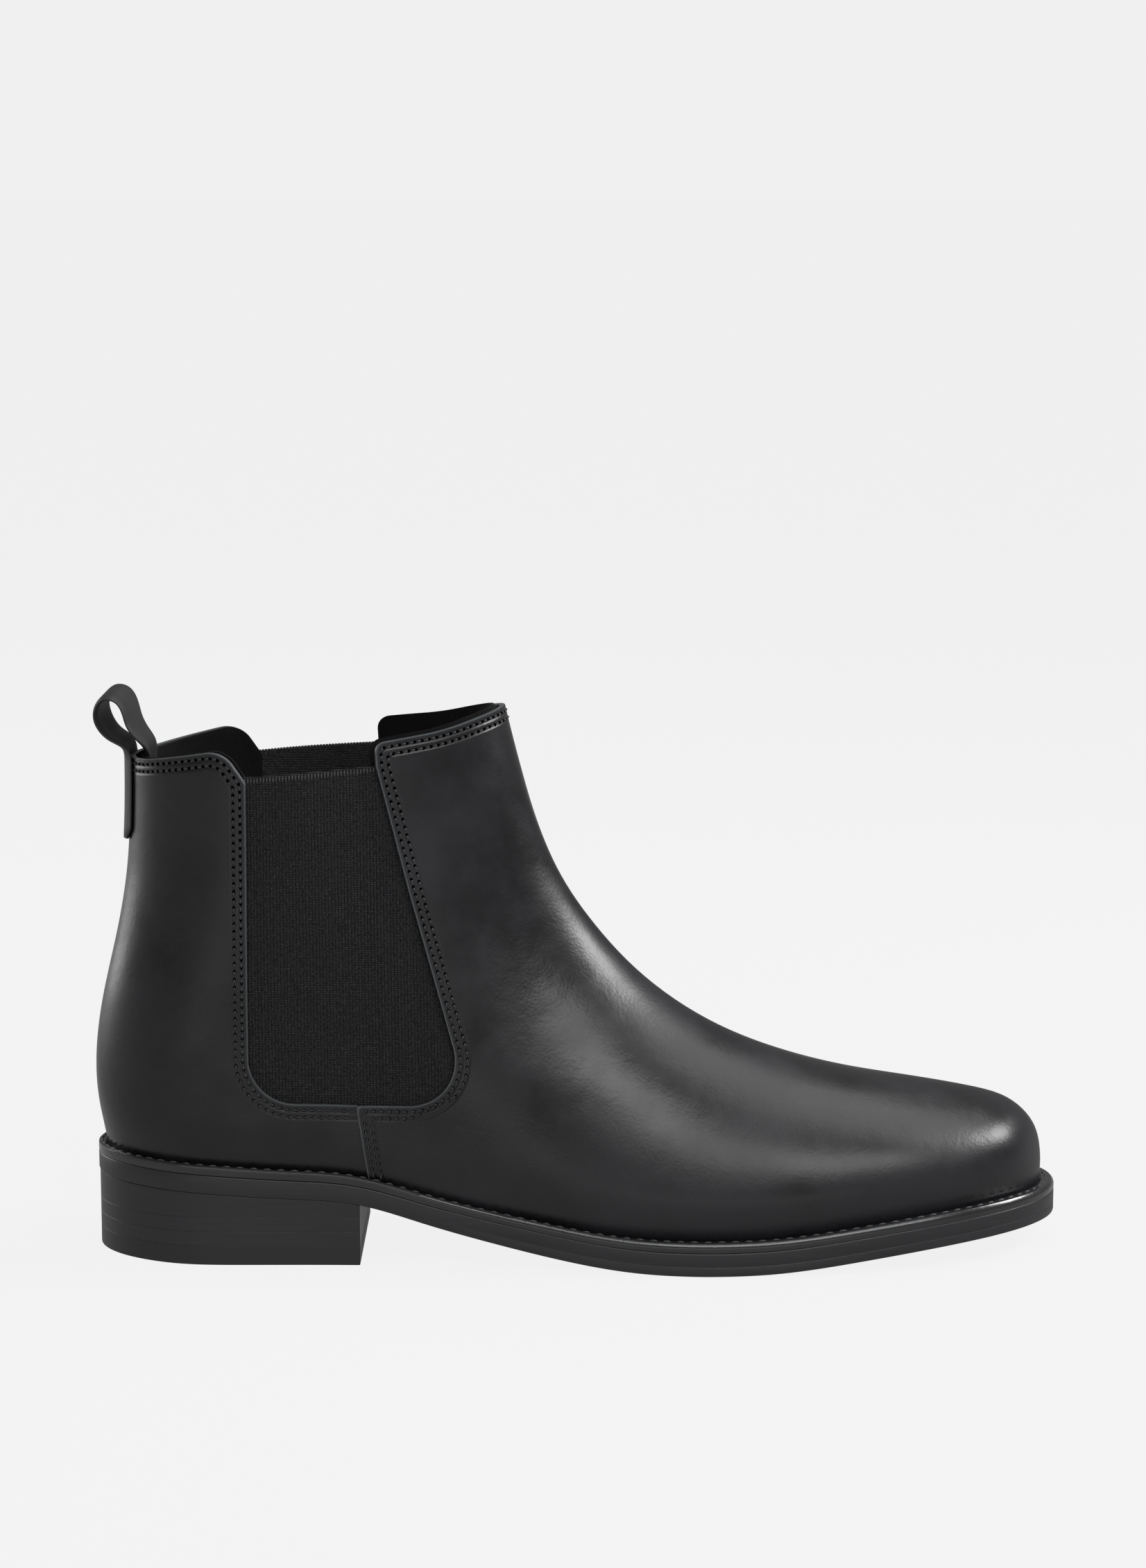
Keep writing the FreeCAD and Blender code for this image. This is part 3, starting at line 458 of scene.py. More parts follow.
def sheet_mesh(name, loop, cut, depth, thickness, lattice=(0.125, 0.17), rounding=0.45, lift=None):
    """A closed sheet between two depths under the surface. lift(points) raises it."""
    low, high = loop.min(0), loop.max(0)
    turns, rings = np.arange(low[0], high[0], lattice[0]), np.arange(low[1], high[1], lattice[1])
    inner = np.stack(np.meshgrid(turns, rings), axis=-1).reshape(-1, 2)
    border, border_normal = skin(loop[:, 0], loop[:, 1], depth)
    inner_points, _ = skin(inner[:, 0], inner[:, 1], depth)
    inner = inner[nearest(inner_points, border) > 1.0]
    faces = triangles(loop * PLAN_SCALE, inner * PLAN_SCALE)
    count = len(loop)
    plan = np.vstack([loop, inner])
    top, normal = skin(plan[:, 0], plan[:, 1], depth)
    if lift is not None:
        top = top + normal * lift(top)[:, None]
    border = top[:count]
    tangent = unit(np.roll(border, -1, 0) - np.roll(border, 1, 0))
    outward = unit(np.cross(tangent, border_normal))
    probe = border[count // 3] + outward[count // 3] * 0.5
    if nearest([probe], top[count:])[0] < nearest([border[count // 3]], top[count:])[0]:
        outward = -outward
    top[:count] = border - outward * rounding
    profile = [(rounding * (1 - math.sin(a)), rounding * (1 - math.cos(a)))
               for a in (math.radians(d) for d in (25, 50, 70, 90))]
    profile += [(0.0, thickness - UNDER_EDGE), (UNDER_EDGE * 0.3, thickness - UNDER_EDGE * 0.3)]
    strips = [border - outward * inset - border_normal * down for inset, down in profile]
    bottom = top - normal * thickness
    bottom[:count] = border - outward * UNDER_EDGE - border_normal * thickness
    points = np.vstack([top] + strips + [bottom])
    size = len(top)
    rows = [0] + [size + k * count for k in range(len(strips))] + [size + len(strips) * count]
    made = [list(face) for face in faces]
    made += [[v + rows[-1] for v in reversed(face)] for face in faces]
    made += bands(rows[::-1], count)
    far = np.minimum(nearest(top, border[cut]), CUT_REACH)
    edge = np.concatenate([far] + [np.where(cut, 0.0, CUT_REACH)] * len(strips)
                          + [np.full(len(bottom), CUT_REACH)])
    return new_mesh(name, points, made, {"cut_edge": edge})


def add_object(name, mesh, *materials):
    obj = bpy.data.objects.new(name, mesh)
    bpy.context.scene.collection.objects.link(obj)
    for material in materials:
        mesh.materials.append(material)
    return obj

# %% [markdown]
# Where the boot bends. The toe lifts about a line under the ball, and the back of the collar leans away when the
# elastic stretches. Leather crosses both lines unbroken. A piece that does so is given its zone, but it stays
# where it is made and follows neither body.

# %% Bending zones
def frame_point(x, z):
    return tuple(placed([(x, 0.0, z)])[0])


TOE_BEND = ("root", "forefoot", frame_point(188.0, 7.4), frame_point(240.0, 7.4))
COLLAR_BEND = ("root", "back_collar", frame_point(10.0, 76.5), frame_point(-7.65, 94.15))
TAB_BEND = ("back_collar", "pull_loop", frame_point(14.0, 152.0), frame_point(14.0, 162.0))


def settle(obj, slot, on=None, bend=None, replaces=()):
    """Puts a finished piece on its body, or bakes its place when it lies across a bend, and hides the model's
    pieces that it replaces. slot is not used.
    """
    if replaces:
        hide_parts(*replaces)
    if bend:
        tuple(bend[2])
        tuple(bend[3])
        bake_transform(obj)
    else:
        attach(obj, on)
    sides = [len(p.vertices) - 2 for p in obj.data.polygons]
    print(f"{obj.name}: {sum(sides)} triangles")
    return obj


def finished(mesh, material, slot, **where):
    return settle(add_object(mesh.name, mesh, material), slot, **where)

# %% [markdown]
# Materials are small node trees. Every pattern reads Object coordinates, in metres, so a scale of 2000
# gives half-millimetre grain. Numbers that are the same all over sit on the shader's own sockets.

# %% A helper for node trees
class Finish:
    """A Principled material with shorthand for the nodes that vary it."""

    def __init__(self, name, **values):
        self.material = bpy.data.materials.new(name)
        self.material.use_nodes = True
        self.tree = self.material.node_tree
        self.shader = self.tree.nodes["Principled BSDF"]
        for key, value in values.items():
            self.shader.inputs[key.replace("_", " ")].default_value = value
        self.coordinates = self.node("ShaderNodeTexCoord").outputs["Object"]
        self.height = None

    def node(self, kind, settings=None, **inputs):
        made = self.tree.nodes.new(kind)
        for key, value in (settings or {}).items():
            setattr(made, key, value)
        for key, value in inputs.items():
            socket = made.inputs[int(key[1:])] if key[0] == "i" and key[1:].isdigit() else made.inputs[key]
            if isinstance(value, bpy.types.NodeSocket):
                self.tree.links.new(value, socket)
            else:
                socket.default_value = value
        return made

    def noise(self, scale, detail=2.0, stretch=(1, 1, 1), rough=0.5):
        spot = self.node("ShaderNodeMapping", Vector=self.coordinates, Scale=stretch).outputs[0]
        return self.node("ShaderNodeTexNoise", Vector=spot, Scale=scale, Detail=detail, Roughness=rough).outputs[0]

    def cells(self, scale):
        made = self.node("ShaderNodeTexVoronoi", {"feature": "SMOOTH_F1"}, Vector=self.coordinates, Scale=scale)
        return made.outputs["Distance"]

    def math(self, operation, a, b=0.0, c=0.0):
        return self.node("ShaderNodeMath", {"operation": operation}, i0=a, i1=b, i2=c).outputs[0]

    def ramp(self, value, low, high, to_low=0.0, to_high=1.0):
        made = self.node("ShaderNodeMapRange", {"interpolation_type": "SMOOTHSTEP"}, Value=value)
        for key, number in zip(("From Min", "From Max", "To Min", "To Max"), (low, high, to_low, to_high)):
            made.inputs[key].default_value = number
        return made.outputs[0]

    def attribute(self, name):
        return self.node("ShaderNodeAttribute", {"attribute_name": name}).outputs["Fac"]

    def blend(self, factor, a, b):
        colors = [(*c, 1.0) if isinstance(c, tuple) else c for c in (a, b)]
        return self.node("ShaderNodeMix", {"data_type": "RGBA"}, i0=factor, i6=colors[0], i7=colors[1]).outputs[2]

    def color(self, source):
        self.tree.links.new(source, self.shader.inputs["Base Color"])

    def roughness(self, source):
        self.tree.links.new(source, self.shader.inputs["Roughness"])

    def bump(self, height, depth, strength=1.0):
        """Adds a bump of that depth in metres over the earlier ones."""
        made = self.node("ShaderNodeBump", Height=height, Distance=depth, Strength=strength)
        if self.height is not None:
            self.tree.links.new(self.height, made.inputs["Normal"])
        self.height = made.outputs[0]
        self.tree.links.new(self.height, self.shader.inputs["Normal"])


def two_tone(name, dark, light, pattern, bumps=(), gloss=None, **values):
    """Two colours mixed by one pattern, with bumps of (pattern, depth, strength) and gloss (gain, least)."""
    finish = Finish(name, **values)
    kind, *numbers = pattern
    spread = getattr(finish, kind)(*numbers)
    finish.color(finish.blend(spread, dark, light))
    if gloss:
        finish.roughness(finish.math("MULTIPLY_ADD", spread, *gloss))
    for (kind, *numbers), depth, strength in bumps:
        finish.bump(getattr(finish, kind)(*numbers), depth, strength)
    return finish.material

# %% [markdown]
# Polished calf. It is almost black, with a cloudy polish that varies in colour and gloss, a very fine
# grain, and a shallow channel along each row of stitches. The raw cut edge shows a thin grey line.

# %% Upper leather
STITCH_ROWS = (2.1, 4.3)   # distances of the two stitch rows from a cut edge, in millimetres


def calf():
    finish = Finish("polished_calf", Coat_Weight=0.12, Coat_Roughness=0.24)
    cloud = finish.noise(30, 5.0, rough=0.6)
    patch = finish.noise(11, 3.0)
    polish = finish.ramp(finish.math("MULTIPLY_ADD", cloud, 0.6, finish.math("MULTIPLY", patch, 0.4)), 0.34, 0.66)
    base = finish.blend(polish, (0.0070, 0.0070, 0.0082), (0.0205, 0.0208, 0.0240))
    edge = finish.attribute("cut_edge")
    raw = finish.ramp(edge, 0.05, 0.60, 1.0, 0.0)
    finish.color(finish.blend(raw, base, (0.095, 0.106, 0.112)))
    finish.roughness(finish.math("MULTIPLY_ADD", polish, 0.20, 0.25))
    finish.bump(patch, 0.0030, 0.16)
    finish.bump(finish.noise(60, 3.0), 0.0014, 0.24)
    for row in STITCH_ROWS:
        groove = finish.ramp(finish.math("ABSOLUTE", finish.math("SUBTRACT", edge, row)), 0.0, 0.9)
        finish.bump(groove, 0.00030, 0.8)
    finish.bump(finish.cells(1150), 0.00007, 0.45)
    finish.bump(finish.noise(3200, 3.0), 0.00003, 0.30)
    return finish.material


CALF = calf()
print("material", CALF.name)

# %% [markdown]
# The vamp is the whole front of the boot in one piece: toe, instep and the front of the shaft. Its back
# edge laps over the quarter, so the leather stands a little prouder there.

# %% The vamp
LEATHER, GORE, LINING, LAYER_GAP = 1.7, 1.3, 1.0, 0.1
SEAM_LIFT = 0.7
SEAM_LAP = 9.0


def seam_x(z):
    return mix(SEAM_FOOT[0], SEAM_TOP[0], np.clip((z - SEAM_FOOT[1]) / (SEAM_TOP[1] - SEAM_FOOT[1]), 0, 1.05))


def lap(points):
    """Height of the lap above the last's surface."""
    ahead = points[:, 0] - seam_x(points[:, 2])
    low = ease((60.0 - points[:, 2]) / 10.0)
    return SEAM_LIFT * low * (1 - ease(ahead / SEAM_LAP))


finished(sheet_mesh("vamp", vamp_loop, vamp_cut, 0.0, LEATHER, lift=lap), CALF, "upper_leather", bend=TOE_BEND,
         replaces=("vamp_shaft", "vamp_flex_zone", "vamp_toe"))

# %% The back quarter
finished(sheet_mesh("back_quarter", quarter_loop, quarter_cut, 0.0, LEATHER), CALF, "upper_leather",
         bend=COLLAR_BEND, replaces=("back_quarter_upper", "back_quarter_lower"))

# %% [markdown]
# The lining is the same shape one layer further in. Suede has no gloss: its nap is a fine noise, with a
# faint sheen that catches light sideways. It is hardly lit, so a coarser lattice is enough.

# %% Linings
def suede():
    finish = Finish("suede", Roughness=0.95, Sheen_Weight=0.06, Sheen_Roughness=0.45, Specular_IOR_Level=0.15)
    nap = finish.noise(1500, 5.0, rough=0.75)
    cloud = finish.noise(120, 3.0)
    finish.color(finish.blend(finish.math("MULTIPLY", nap, cloud), (0.003, 0.003, 0.003), (0.020, 0.019, 0.0185)))
    finish.bump(nap, 0.0004, 0.9)
    return finish.material


SUEDE = suede()
LINING_DEPTH = LEATHER + LAYER_GAP + GORE + LAYER_GAP
COARSE, LINING_EDGE = (0.2, 0.27), 0.3
finished(sheet_mesh("front_lining", vamp_loop, vamp_cut, LINING_DEPTH, LINING, COARSE, LINING_EDGE), SUEDE,
         "lining_leather", bend=TOE_BEND,
         replaces=("front_lining_shaft", "front_lining_flex_zone", "front_lining_toe"))
finished(sheet_mesh("quarter_lining", quarter_loop, quarter_cut, LINING_DEPTH, LINING, COARSE, LINING_EDGE), SUEDE,
         "lining_suede", bend=COLLAR_BEND, replaces=("quarter_lining_upper", "quarter_lining_lower"))

# %% [markdown]
# The bottom of the boot is a stack of layers that share one outline, the feather line where the upper
# meets the welt, grown by a few millimetres. A layer is a ring of short strips between two triangulated
# faces, and its edge profile is a list of (inset, share of the height).

# %% The feather line
STATIONS = 420
feather_turns = np.linspace(0, 2 * STEPS, 4 * STATIONS, endpoint=False)
feather_raw = skin(feather_turns, ring_at(feather_turns, welt_top))[0][:, :2]
feather = even(np.vstack([feather_raw, feather_raw[:1]]), 0.1)
feather = feather[np.linspace(0, len(feather) - 1, STATIONS, endpoint=False).astype(int)]


def plan_normals(path):
    """Outward normals of a closed plan outline."""
    along = np.roll(path, -2, 0) - np.roll(path, 2, 0)
    normals = unit(np.stack([along[:, 1], -along[:, 0]], axis=1))
    return normals if np.sum((path - path.mean(0)) * normals) > 0 else -normals


feather_out = plan_normals(feather)


def welt_edge(x):
    """How far the welt stands out: little round the heel, more round the forepart."""
    return mix(2.7, 4.8, ease((x / SOLE_LENGTH - 0.35) / 0.3))


def outline(offset):
    return feather + feather_out * np.reshape(offset, (-1, 1))


print("feather line", round(float(np.ptp(feather[:, 0])), 1), "by", round(float(np.ptp(feather[:, 1])), 1), "mm")


# %% A slab with shaped edges
def slab_mesh(name, path, low, high, profile, lattice=4.0):
    """A closed layer. path is its plan outline; profile lists (inset, share of height) from below."""
    normals = plan_normals(path)
    count, rings = len(path), []
    for inset, share in profile:
        amount = inset(path[:, 0]) if callable(inset) else np.full(count, inset)
        at = path - normals * amount[:, None]
        rings.append(np.column_stack([at, mix(low(path[:, 0]), high(path[:, 0]), share)]))
    inner = np.stack(np.meshgrid(np.arange(-5, 310, lattice), np.arange(-60, 60, lattice)), axis=-1).reshape(-1, 2)
    inner = inner[nearest(np.pad(inner, ((0, 0), (0, 1))), np.pad(path, ((0, 0), (0, 1)))) > lattice * 0.6]
    points, faces = list(rings), []
    for cap, (ring, height) in enumerate(((0, low), (len(rings) - 1, high))):
        start = count * len(rings) + cap * len(inner) - count
        for face in triangles(rings[ring][:, :2], inner):
            faces.append([v + ring * count if v < count else v + start for v in face])
        points.append(np.column_stack([inner, height(inner[:, 0])]))
    faces += bands([r * count for r in range(len(rings))], count)
    return new_mesh(name, np.vstack(points), faces)


def ring_mesh(name, section):
    """A band that runs all round the feather line. section(x) lists (offset, height) round its edge."""
    rows = section(feather[:, 0])
    points = np.concatenate([np.column_stack([outline(offset), height]) for offset, height in rows])
    count = len(feather)
    return new_mesh(name, points, bands([r * count for r in range(len(rows))] + [0], count))

# %% [markdown]
# The outsole's edge is inked and waxed to a satin. Long fine scratches from the edge iron run along it,
# so the noise in this finish is stretched along X and Y and squeezed in Z.

# %% Outsole
def satin_edge(name, dark, light, rough):
    finish = Finish(name)
    lines = finish.noise(900, 2.0, stretch=(0.06, 0.06, 1.0))
    cloud = finish.noise(45, 3.0)
    finish.color(finish.blend(finish.math("MULTIPLY_ADD", lines, 0.5, finish.math("MULTIPLY", cloud, 0.5)), dark,
                              light))
    finish.roughness(finish.math("MULTIPLY_ADD", cloud, 0.18, rough))
    finish.bump(lines, 0.00010, 0.5)
    finish.bump(finish.noise(2600, 3.0), 0.00003, 0.5)
    return finish.material


EDGE_INK = satin_edge("edge_ink", (0.021, 0.021, 0.023), (0.041, 0.041, 0.045), 0.32)


def layer_line(x):
    """The joint between the outsole's two layers, pressed in along the forepart."""
    return 0.16 * ease((x - 105) / 30)


sole_profile = [(0.55, 0.0), (0.16, 0.03), (0.0, 0.09), (0.0, 0.37), (layer_line, 0.41), (0.0, 0.45), (0.0, 0.93),
                (0.10, 0.975), (0.30, 1.0)]
finished(slab_mesh("outsole", outline(welt_edge(feather[:, 0])), sole_bottom, lambda x: outsole_top(x) - 0.05,
                   sole_profile), EDGE_INK, "outsole_leather", bend=TOE_BEND,
         replaces=("outsole_rear", "outsole_forepart"))

# %% [markdown]
# The welt is a strip of leather sewn all round the foot of the upper, with its own stitches through to
# the outsole. It is burnished harder than the sole, so its rounded edge takes a bright line of light.

# %% Welt
def welt_section(x):
    edge, low, top = welt_edge(x), outsole_top(x), welt_top(x)
    soft = ease((x - 90) / 50)
    shoulder = mix(0.35, 1.0, soft)
    return [(-0.1 + 0 * x, low), (edge - 0.45, low), (edge - 0.12, low + 0.2), (edge, low + 0.7),
            (edge, top - 0.45 - shoulder), (edge - 0.25 * shoulder, top - 0.2 - 0.5 * shoulder),
            (edge - 0.4 - 0.45 * shoulder, top - 0.06), (edge - 0.55 - 0.9 * shoulder, top),
            (1.0 + 0 * x, top - 0.12), (0.5 + 0 * x, top - 0.6), (-0.1 + 0 * x, top - 0.9)]


WELT_POLISH = two_tone("welt_polish", (0.014, 0.014, 0.015), (0.036, 0.037, 0.040), ("noise", 60, 4.0),
                       [(("noise", 700, 4.0), 0.00016, 0.5)], (0.20, 0.16), Coat_Weight=0.6, Coat_Roughness=0.14)
finished(ring_mesh("welt", welt_section), WELT_POLISH, "welt", bend=TOE_BEND,
         replaces=("welt_rear", "welt_forepart"))

# %% [markdown]
# The heel is a stack: a rubber top lift on the ground, two leather lifts, and a wedge that follows the
# outsole's slope. All are trimmed together and the leather is inked, so that only hairlines show.

# %% Heel stack
HEEL_TUCK, BREAST_CHAMFER = 0.3, 0.35


def heel_path():
    """The sole's outline behind the heel breast, closed by the breast's flat face."""
    path = outline(welt_edge(feather[:, 0]) - HEEL_TUCK)
    behind = path[:, 0] < HEEL_BREAST
    first = int(np.flatnonzero(behind & ~np.roll(behind, 1))[0])
    back = np.roll(path, -first, axis=0)[:int(behind.sum())]
    ends = [np.array([HEEL_BREAST, back[k, 1]]) for k in (-1, 0)]
    face = [end - (0, BREAST_CHAMFER * np.sign(end[1])) for end in ends]
    corners = [[end - (BREAST_CHAMFER, 0)] for end in ends]
    return np.vstack([back[back[:, 0] < HEEL_BREAST - 0.6], corners[0], even(np.array(face), 1.2), corners[1]])


def level(value):
    return lambda x: np.full(np.shape(x), float(value))


RUBBER = two_tone("top_lift_rubber", (0.020, 0.020, 0.021), (0.036, 0.036, 0.038), ("noise", 50, 3.0),
                  [(("noise", 1800, 4.0), 0.00008, 0.6)], (0.18, 0.40))
heel_outline = heel_path()
LIFT_PROFILE = [(0.05, 0.0), (0.0, 0.015), (0.0, 0.05), (0.0, 0.5), (0.0, 0.95), (0.0, 0.985), (0.05, 1.0)]
LIFTS = ("top_lift", "heel_lift_lower", "heel_lift_upper", "heel_lift_wedge")
heights = [0.0] + [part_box(name)[0].z / MM for name in LIFTS[1:]]
for k, name in enumerate(LIFTS):
    upper = level(heights[k + 1] - 0.03) if k < 3 else (lambda x: sole_bottom(x) - 0.04)
    finished(slab_mesh(name + "_finished", heel_outline, level(heights[k]), upper, LIFT_PROFILE, 6.0),
             EDGE_INK if k else RUBBER, "heel_stack_leather" if k else "top_lift_rubber", on="root",
             replaces=(name,))

# %% [markdown]
# Inside, the foot stands on a smooth leather sock liner, with a soft pad under the heel.

# %% Sock liner and heel pad
SOCK = two_tone("sock_leather", (0.020, 0.018, 0.016), (0.040, 0.036, 0.032), ("noise", 70, 4.0),
                [(("cells", 1100), 0.00010, 0.5)], Roughness=0.5)
INSIDE = LINING_DEPTH + LINING + 1.0
INSOLE, SOCK_LINER, HEEL_PAD = 2.5, 1.2, 2.4


def over_welt(extra):
    return lambda x: welt_top(x) + extra


liner_low = INSOLE + LAYER_GAP
finished(slab_mesh("sock_liner", outline(-INSIDE), over_welt(liner_low), over_welt(liner_low + SOCK_LINER),
                   [(0.2, 0.0), (0.0, 0.2), (0.0, 0.8), (0.25, 1.0)]), SOCK, "sock_leather", bend=TOE_BEND,
         replaces=("sock_liner_rear", "sock_liner_forepart"))
pad_path = outline(-INSIDE - 4.0)
pad_path = pad_path[pad_path[:, 0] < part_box("heel_pad")[1].x / MM - SHIFT.x / MM]
pad_path = even(np.vstack([pad_path, pad_path[:1]]), 1.5)[:-1]
pad_low = liner_low + SOCK_LINER + LAYER_GAP
pad = finished(slab_mesh("heel_cushion", pad_path, over_welt(pad_low), over_welt(pad_low + HEEL_PAD),
                         [(0.4, 0.0), (0.0, 0.25), (0.3, 0.6), (1.2, 0.85), (2.8, 1.0)]), SOCK, "heel_pad_foam",
               on="root", replaces=("heel_pad",))

# %% [markdown]
# Stitches, ribs and selvedge ticks all repeat along a line, so Geometry Nodes make them. A line is a mesh
# of edges with an "up" vector at each point; the tree turns it into a curve, cuts it into equal steps and
# sets one small piece on each step, along the line and square to the leather.

# %% A tree that repeats a piece along a line
def add_nodes(tree, kind, settings=None, **inputs):
    made = tree.nodes.new(kind)
    for key, value in (settings or {}).items():
        setattr(made, key, value)
    for key, value in inputs.items():
        socket = made.inputs[key.replace("_", " ")]
        if isinstance(value, bpy.types.NodeSocket):
            tree.links.new(value, socket)
        else:
            socket.default_value = value
    return made


def new_tree(name, sockets):
    tree = bpy.data.node_groups.new(name, "GeometryNodeTree")
    tree.interface.new_socket("Geometry", in_out="INPUT", socket_type="NodeSocketGeometry")
    for label, kind in sockets:
        tree.interface.new_socket(label, in_out="INPUT", socket_type=kind)
    tree.interface.new_socket("Geometry", in_out="OUTPUT", socket_type="NodeSocketGeometry")
    return tree, tree.nodes.new("NodeGroupInput").outputs, tree.nodes.new("NodeGroupOutput").inputs


def finish_tree(tree, geometry, given, result):
    real = add_nodes(tree, "GeometryNodeRealizeInstances", Geometry=geometry)
    smoothed = add_nodes(tree, "GeometryNodeSetShadeSmooth", Geometry=real.outputs[0])
    dressed = add_nodes(tree, "GeometryNodeSetMaterial", Geometry=smoothed.outputs[0], Material=given["Material"])
    tree.links.new(dressed.outputs[0], result[0])


def repeat_tree():
    tree, given, result = new_tree("repeat_along_line", [
        ("Piece", "NodeSocketObject"), ("Pitch", "NodeSocketFloat"), ("Start", "NodeSocketFloat"),
        ("Unevenness", "NodeSocketFloat"), ("Seed", "NodeSocketInt"), ("Material", "NodeSocketMaterial")])
    curve = add_nodes(tree, "GeometryNodeMeshToCurve", Mesh=given["Geometry"]).outputs[0]
    trimmed = add_nodes(tree, "GeometryNodeTrimCurve", {"mode": "LENGTH"}, Curve=curve)
    tree.links.new(given["Start"], trimmed.inputs[4])
    trimmed.inputs[5].default_value = 10.0
    steps = add_nodes(tree, "GeometryNodeResampleCurve", {"mode": "LENGTH"}, Curve=trimmed.outputs[0],
                      Length=given["Pitch"])
    up = add_nodes(tree, "GeometryNodeInputNamedAttribute", {"data_type": "FLOAT_VECTOR"}, Name="up").outputs[0]
    along = tree.nodes.new("GeometryNodeInputTangent").outputs[0]
    turned = tree.nodes.new("FunctionNodeAxesToRotation")
    turned.primary_axis, turned.secondary_axis = "Z", "X"
    tree.links.new(up, turned.inputs[0])
    tree.links.new(along, turned.inputs[1])
    size = tree.nodes.new("FunctionNodeRandomValue")
    for operation, limit in (("SUBTRACT", 2), ("ADD", 3)):
        bound = add_nodes(tree, "ShaderNodeMath", {"operation": operation})
        bound.inputs[0].default_value = 1.0
        tree.links.new(given["Unevenness"], bound.inputs[1])
        tree.links.new(bound.outputs[0], size.inputs[limit])
    tree.links.new(given["Seed"], size.inputs["Seed"])
    piece = add_nodes(tree, "GeometryNodeObjectInfo", Object=given["Piece"]).outputs["Geometry"]
    placed_on = add_nodes(tree, "GeometryNodeInstanceOnPoints", Points=steps.outputs[0], Instance=piece)
    tree.links.new(turned.outputs[0], placed_on.inputs["Rotation"])
    tree.links.new(size.outputs[1], placed_on.inputs["Scale"])
    finish_tree(tree, placed_on.outputs[0], given, result)
    return tree


def cord_tree():
    tree, given, result = new_tree("cord_along_line", [
        ("Radius", "NodeSocketFloat"), ("Step", "NodeSocketFloat"), ("Sides", "NodeSocketInt"),
        ("Material", "NodeSocketMaterial")])
    curve = add_nodes(tree, "GeometryNodeMeshToCurve", Mesh=given["Geometry"]).outputs[0]
    steps = add_nodes(tree, "GeometryNodeResampleCurve", {"mode": "LENGTH"}, Curve=curve, Length=given["Step"])
    circle = add_nodes(tree, "GeometryNodeCurvePrimitiveCircle", Resolution=given["Sides"], Radius=given["Radius"])
    tube = add_nodes(tree, "GeometryNodeCurveToMesh", Curve=steps.outputs[0], Profile_Curve=circle.outputs[0],
                     Fill_Caps=True)
    finish_tree(tree, tube.outputs[0], given, result)
    return tree


REPEAT, CORD = repeat_tree(), cord_tree()


def line_object(name, lines):
    """An object of edges from (points, up vectors) pairs, in drawing millimetres."""
    points = np.vstack([p for p, _ in lines])
    ups = np.vstack([u for _, u in lines])
    edges, start = [], 0
    for p, _ in lines:
        edges += [(start + i, start + i + 1) for i in range(len(p) - 1)]
        start += len(p)
    mesh = bpy.data.meshes.new(name)
    mesh.from_pydata(placed(points).tolist(), edges, [])
    mesh.attributes.new("up", "FLOAT_VECTOR", "POINT").data.foreach_set("vector", ups.astype(np.float32).ravel())
    return add_object(name, mesh)


def grown_by(tree, name, lines, **values):
    """Runs a tree on lines and returns its result as a plain mesh object."""
    source = line_object(name + "_line", lines)
    modifier = source.modifiers.new("repeat", "NODES")
    modifier.node_group = tree
    for item in tree.interface.items_tree:
        if item.in_out == "INPUT" and item.name in values:
            modifier[item.identifier] = values[item.name]
    source.update_tag()
    bpy.context.view_layer.update()
    graph = bpy.context.evaluated_depsgraph_get()
    mesh = bpy.data.meshes.new_from_object(source.evaluated_get(graph))
    mesh.name = name
    bpy.data.objects.remove(source)
    return add_object(name, mesh)

# %% [markdown]
# One stitch is a short twisted thread whose ends dive into the leather, and beside it a needle hole, drawn as a
# flat near-black disc on the leather: painted shade for the dark inside of the hole. Both are only a few faces,
# because there are about a thousand of them.

# %% Thread and needle hole
def lens_shape(name, length, width, height, sink, rings=5, sides=6):
    """A rounded bar along X that arches up and sinks at its ends, in millimetres."""
    points = []
    for i in range(rings + 1):
        t = i / rings * 2 - 1
        fat = math.sqrt(max(1 - abs(t) ** 3, 0.02))
        for k in range(sides):
            a = 2 * math.pi * k / sides
            points.append((t * length / 2, math.cos(a) * width / 2 * fat,
                           math.sin(a) * height / 2 * fat - sink * t * t))
    faces = bands([i * sides for i in range(rings + 1)], sides)
    faces += [list(range(sides)), list(range(rings * sides, (rings + 1) * sides))]
    mesh = new_mesh(name, (np.array(points) * MM - np.array(SHIFT)) / MM, faces)
    return add_object(name, mesh)


def thread(name, dark, light):
    return two_tone(name, dark, light, ("noise", 2500, 2.0), [(("noise", 5000, 2.0), 0.00004, 0.6)], Roughness=0.5)


THREAD = thread("upper_thread", (0.030, 0.032, 0.034), (0.062, 0.065, 0.069))
# painted shade: each needle hole is a near-black disc with no specular that stands for the shade inside the hole
HOLE_SHADE = two_tone("needle_hole", (0.0006, 0.0006, 0.0006), (0.002, 0.002, 0.002), ("noise", 900, 1.0),
                Roughness=0.95, Specular_IOR_Level=0.0)
STITCH_PITCH = 2.45
stitch = lens_shape("stitch", 1.6, 0.62, 0.5, 0.34)
hole = lens_shape("hole", 1.3, 0.95, 0.14, 0.0, rings=4, sides=8)


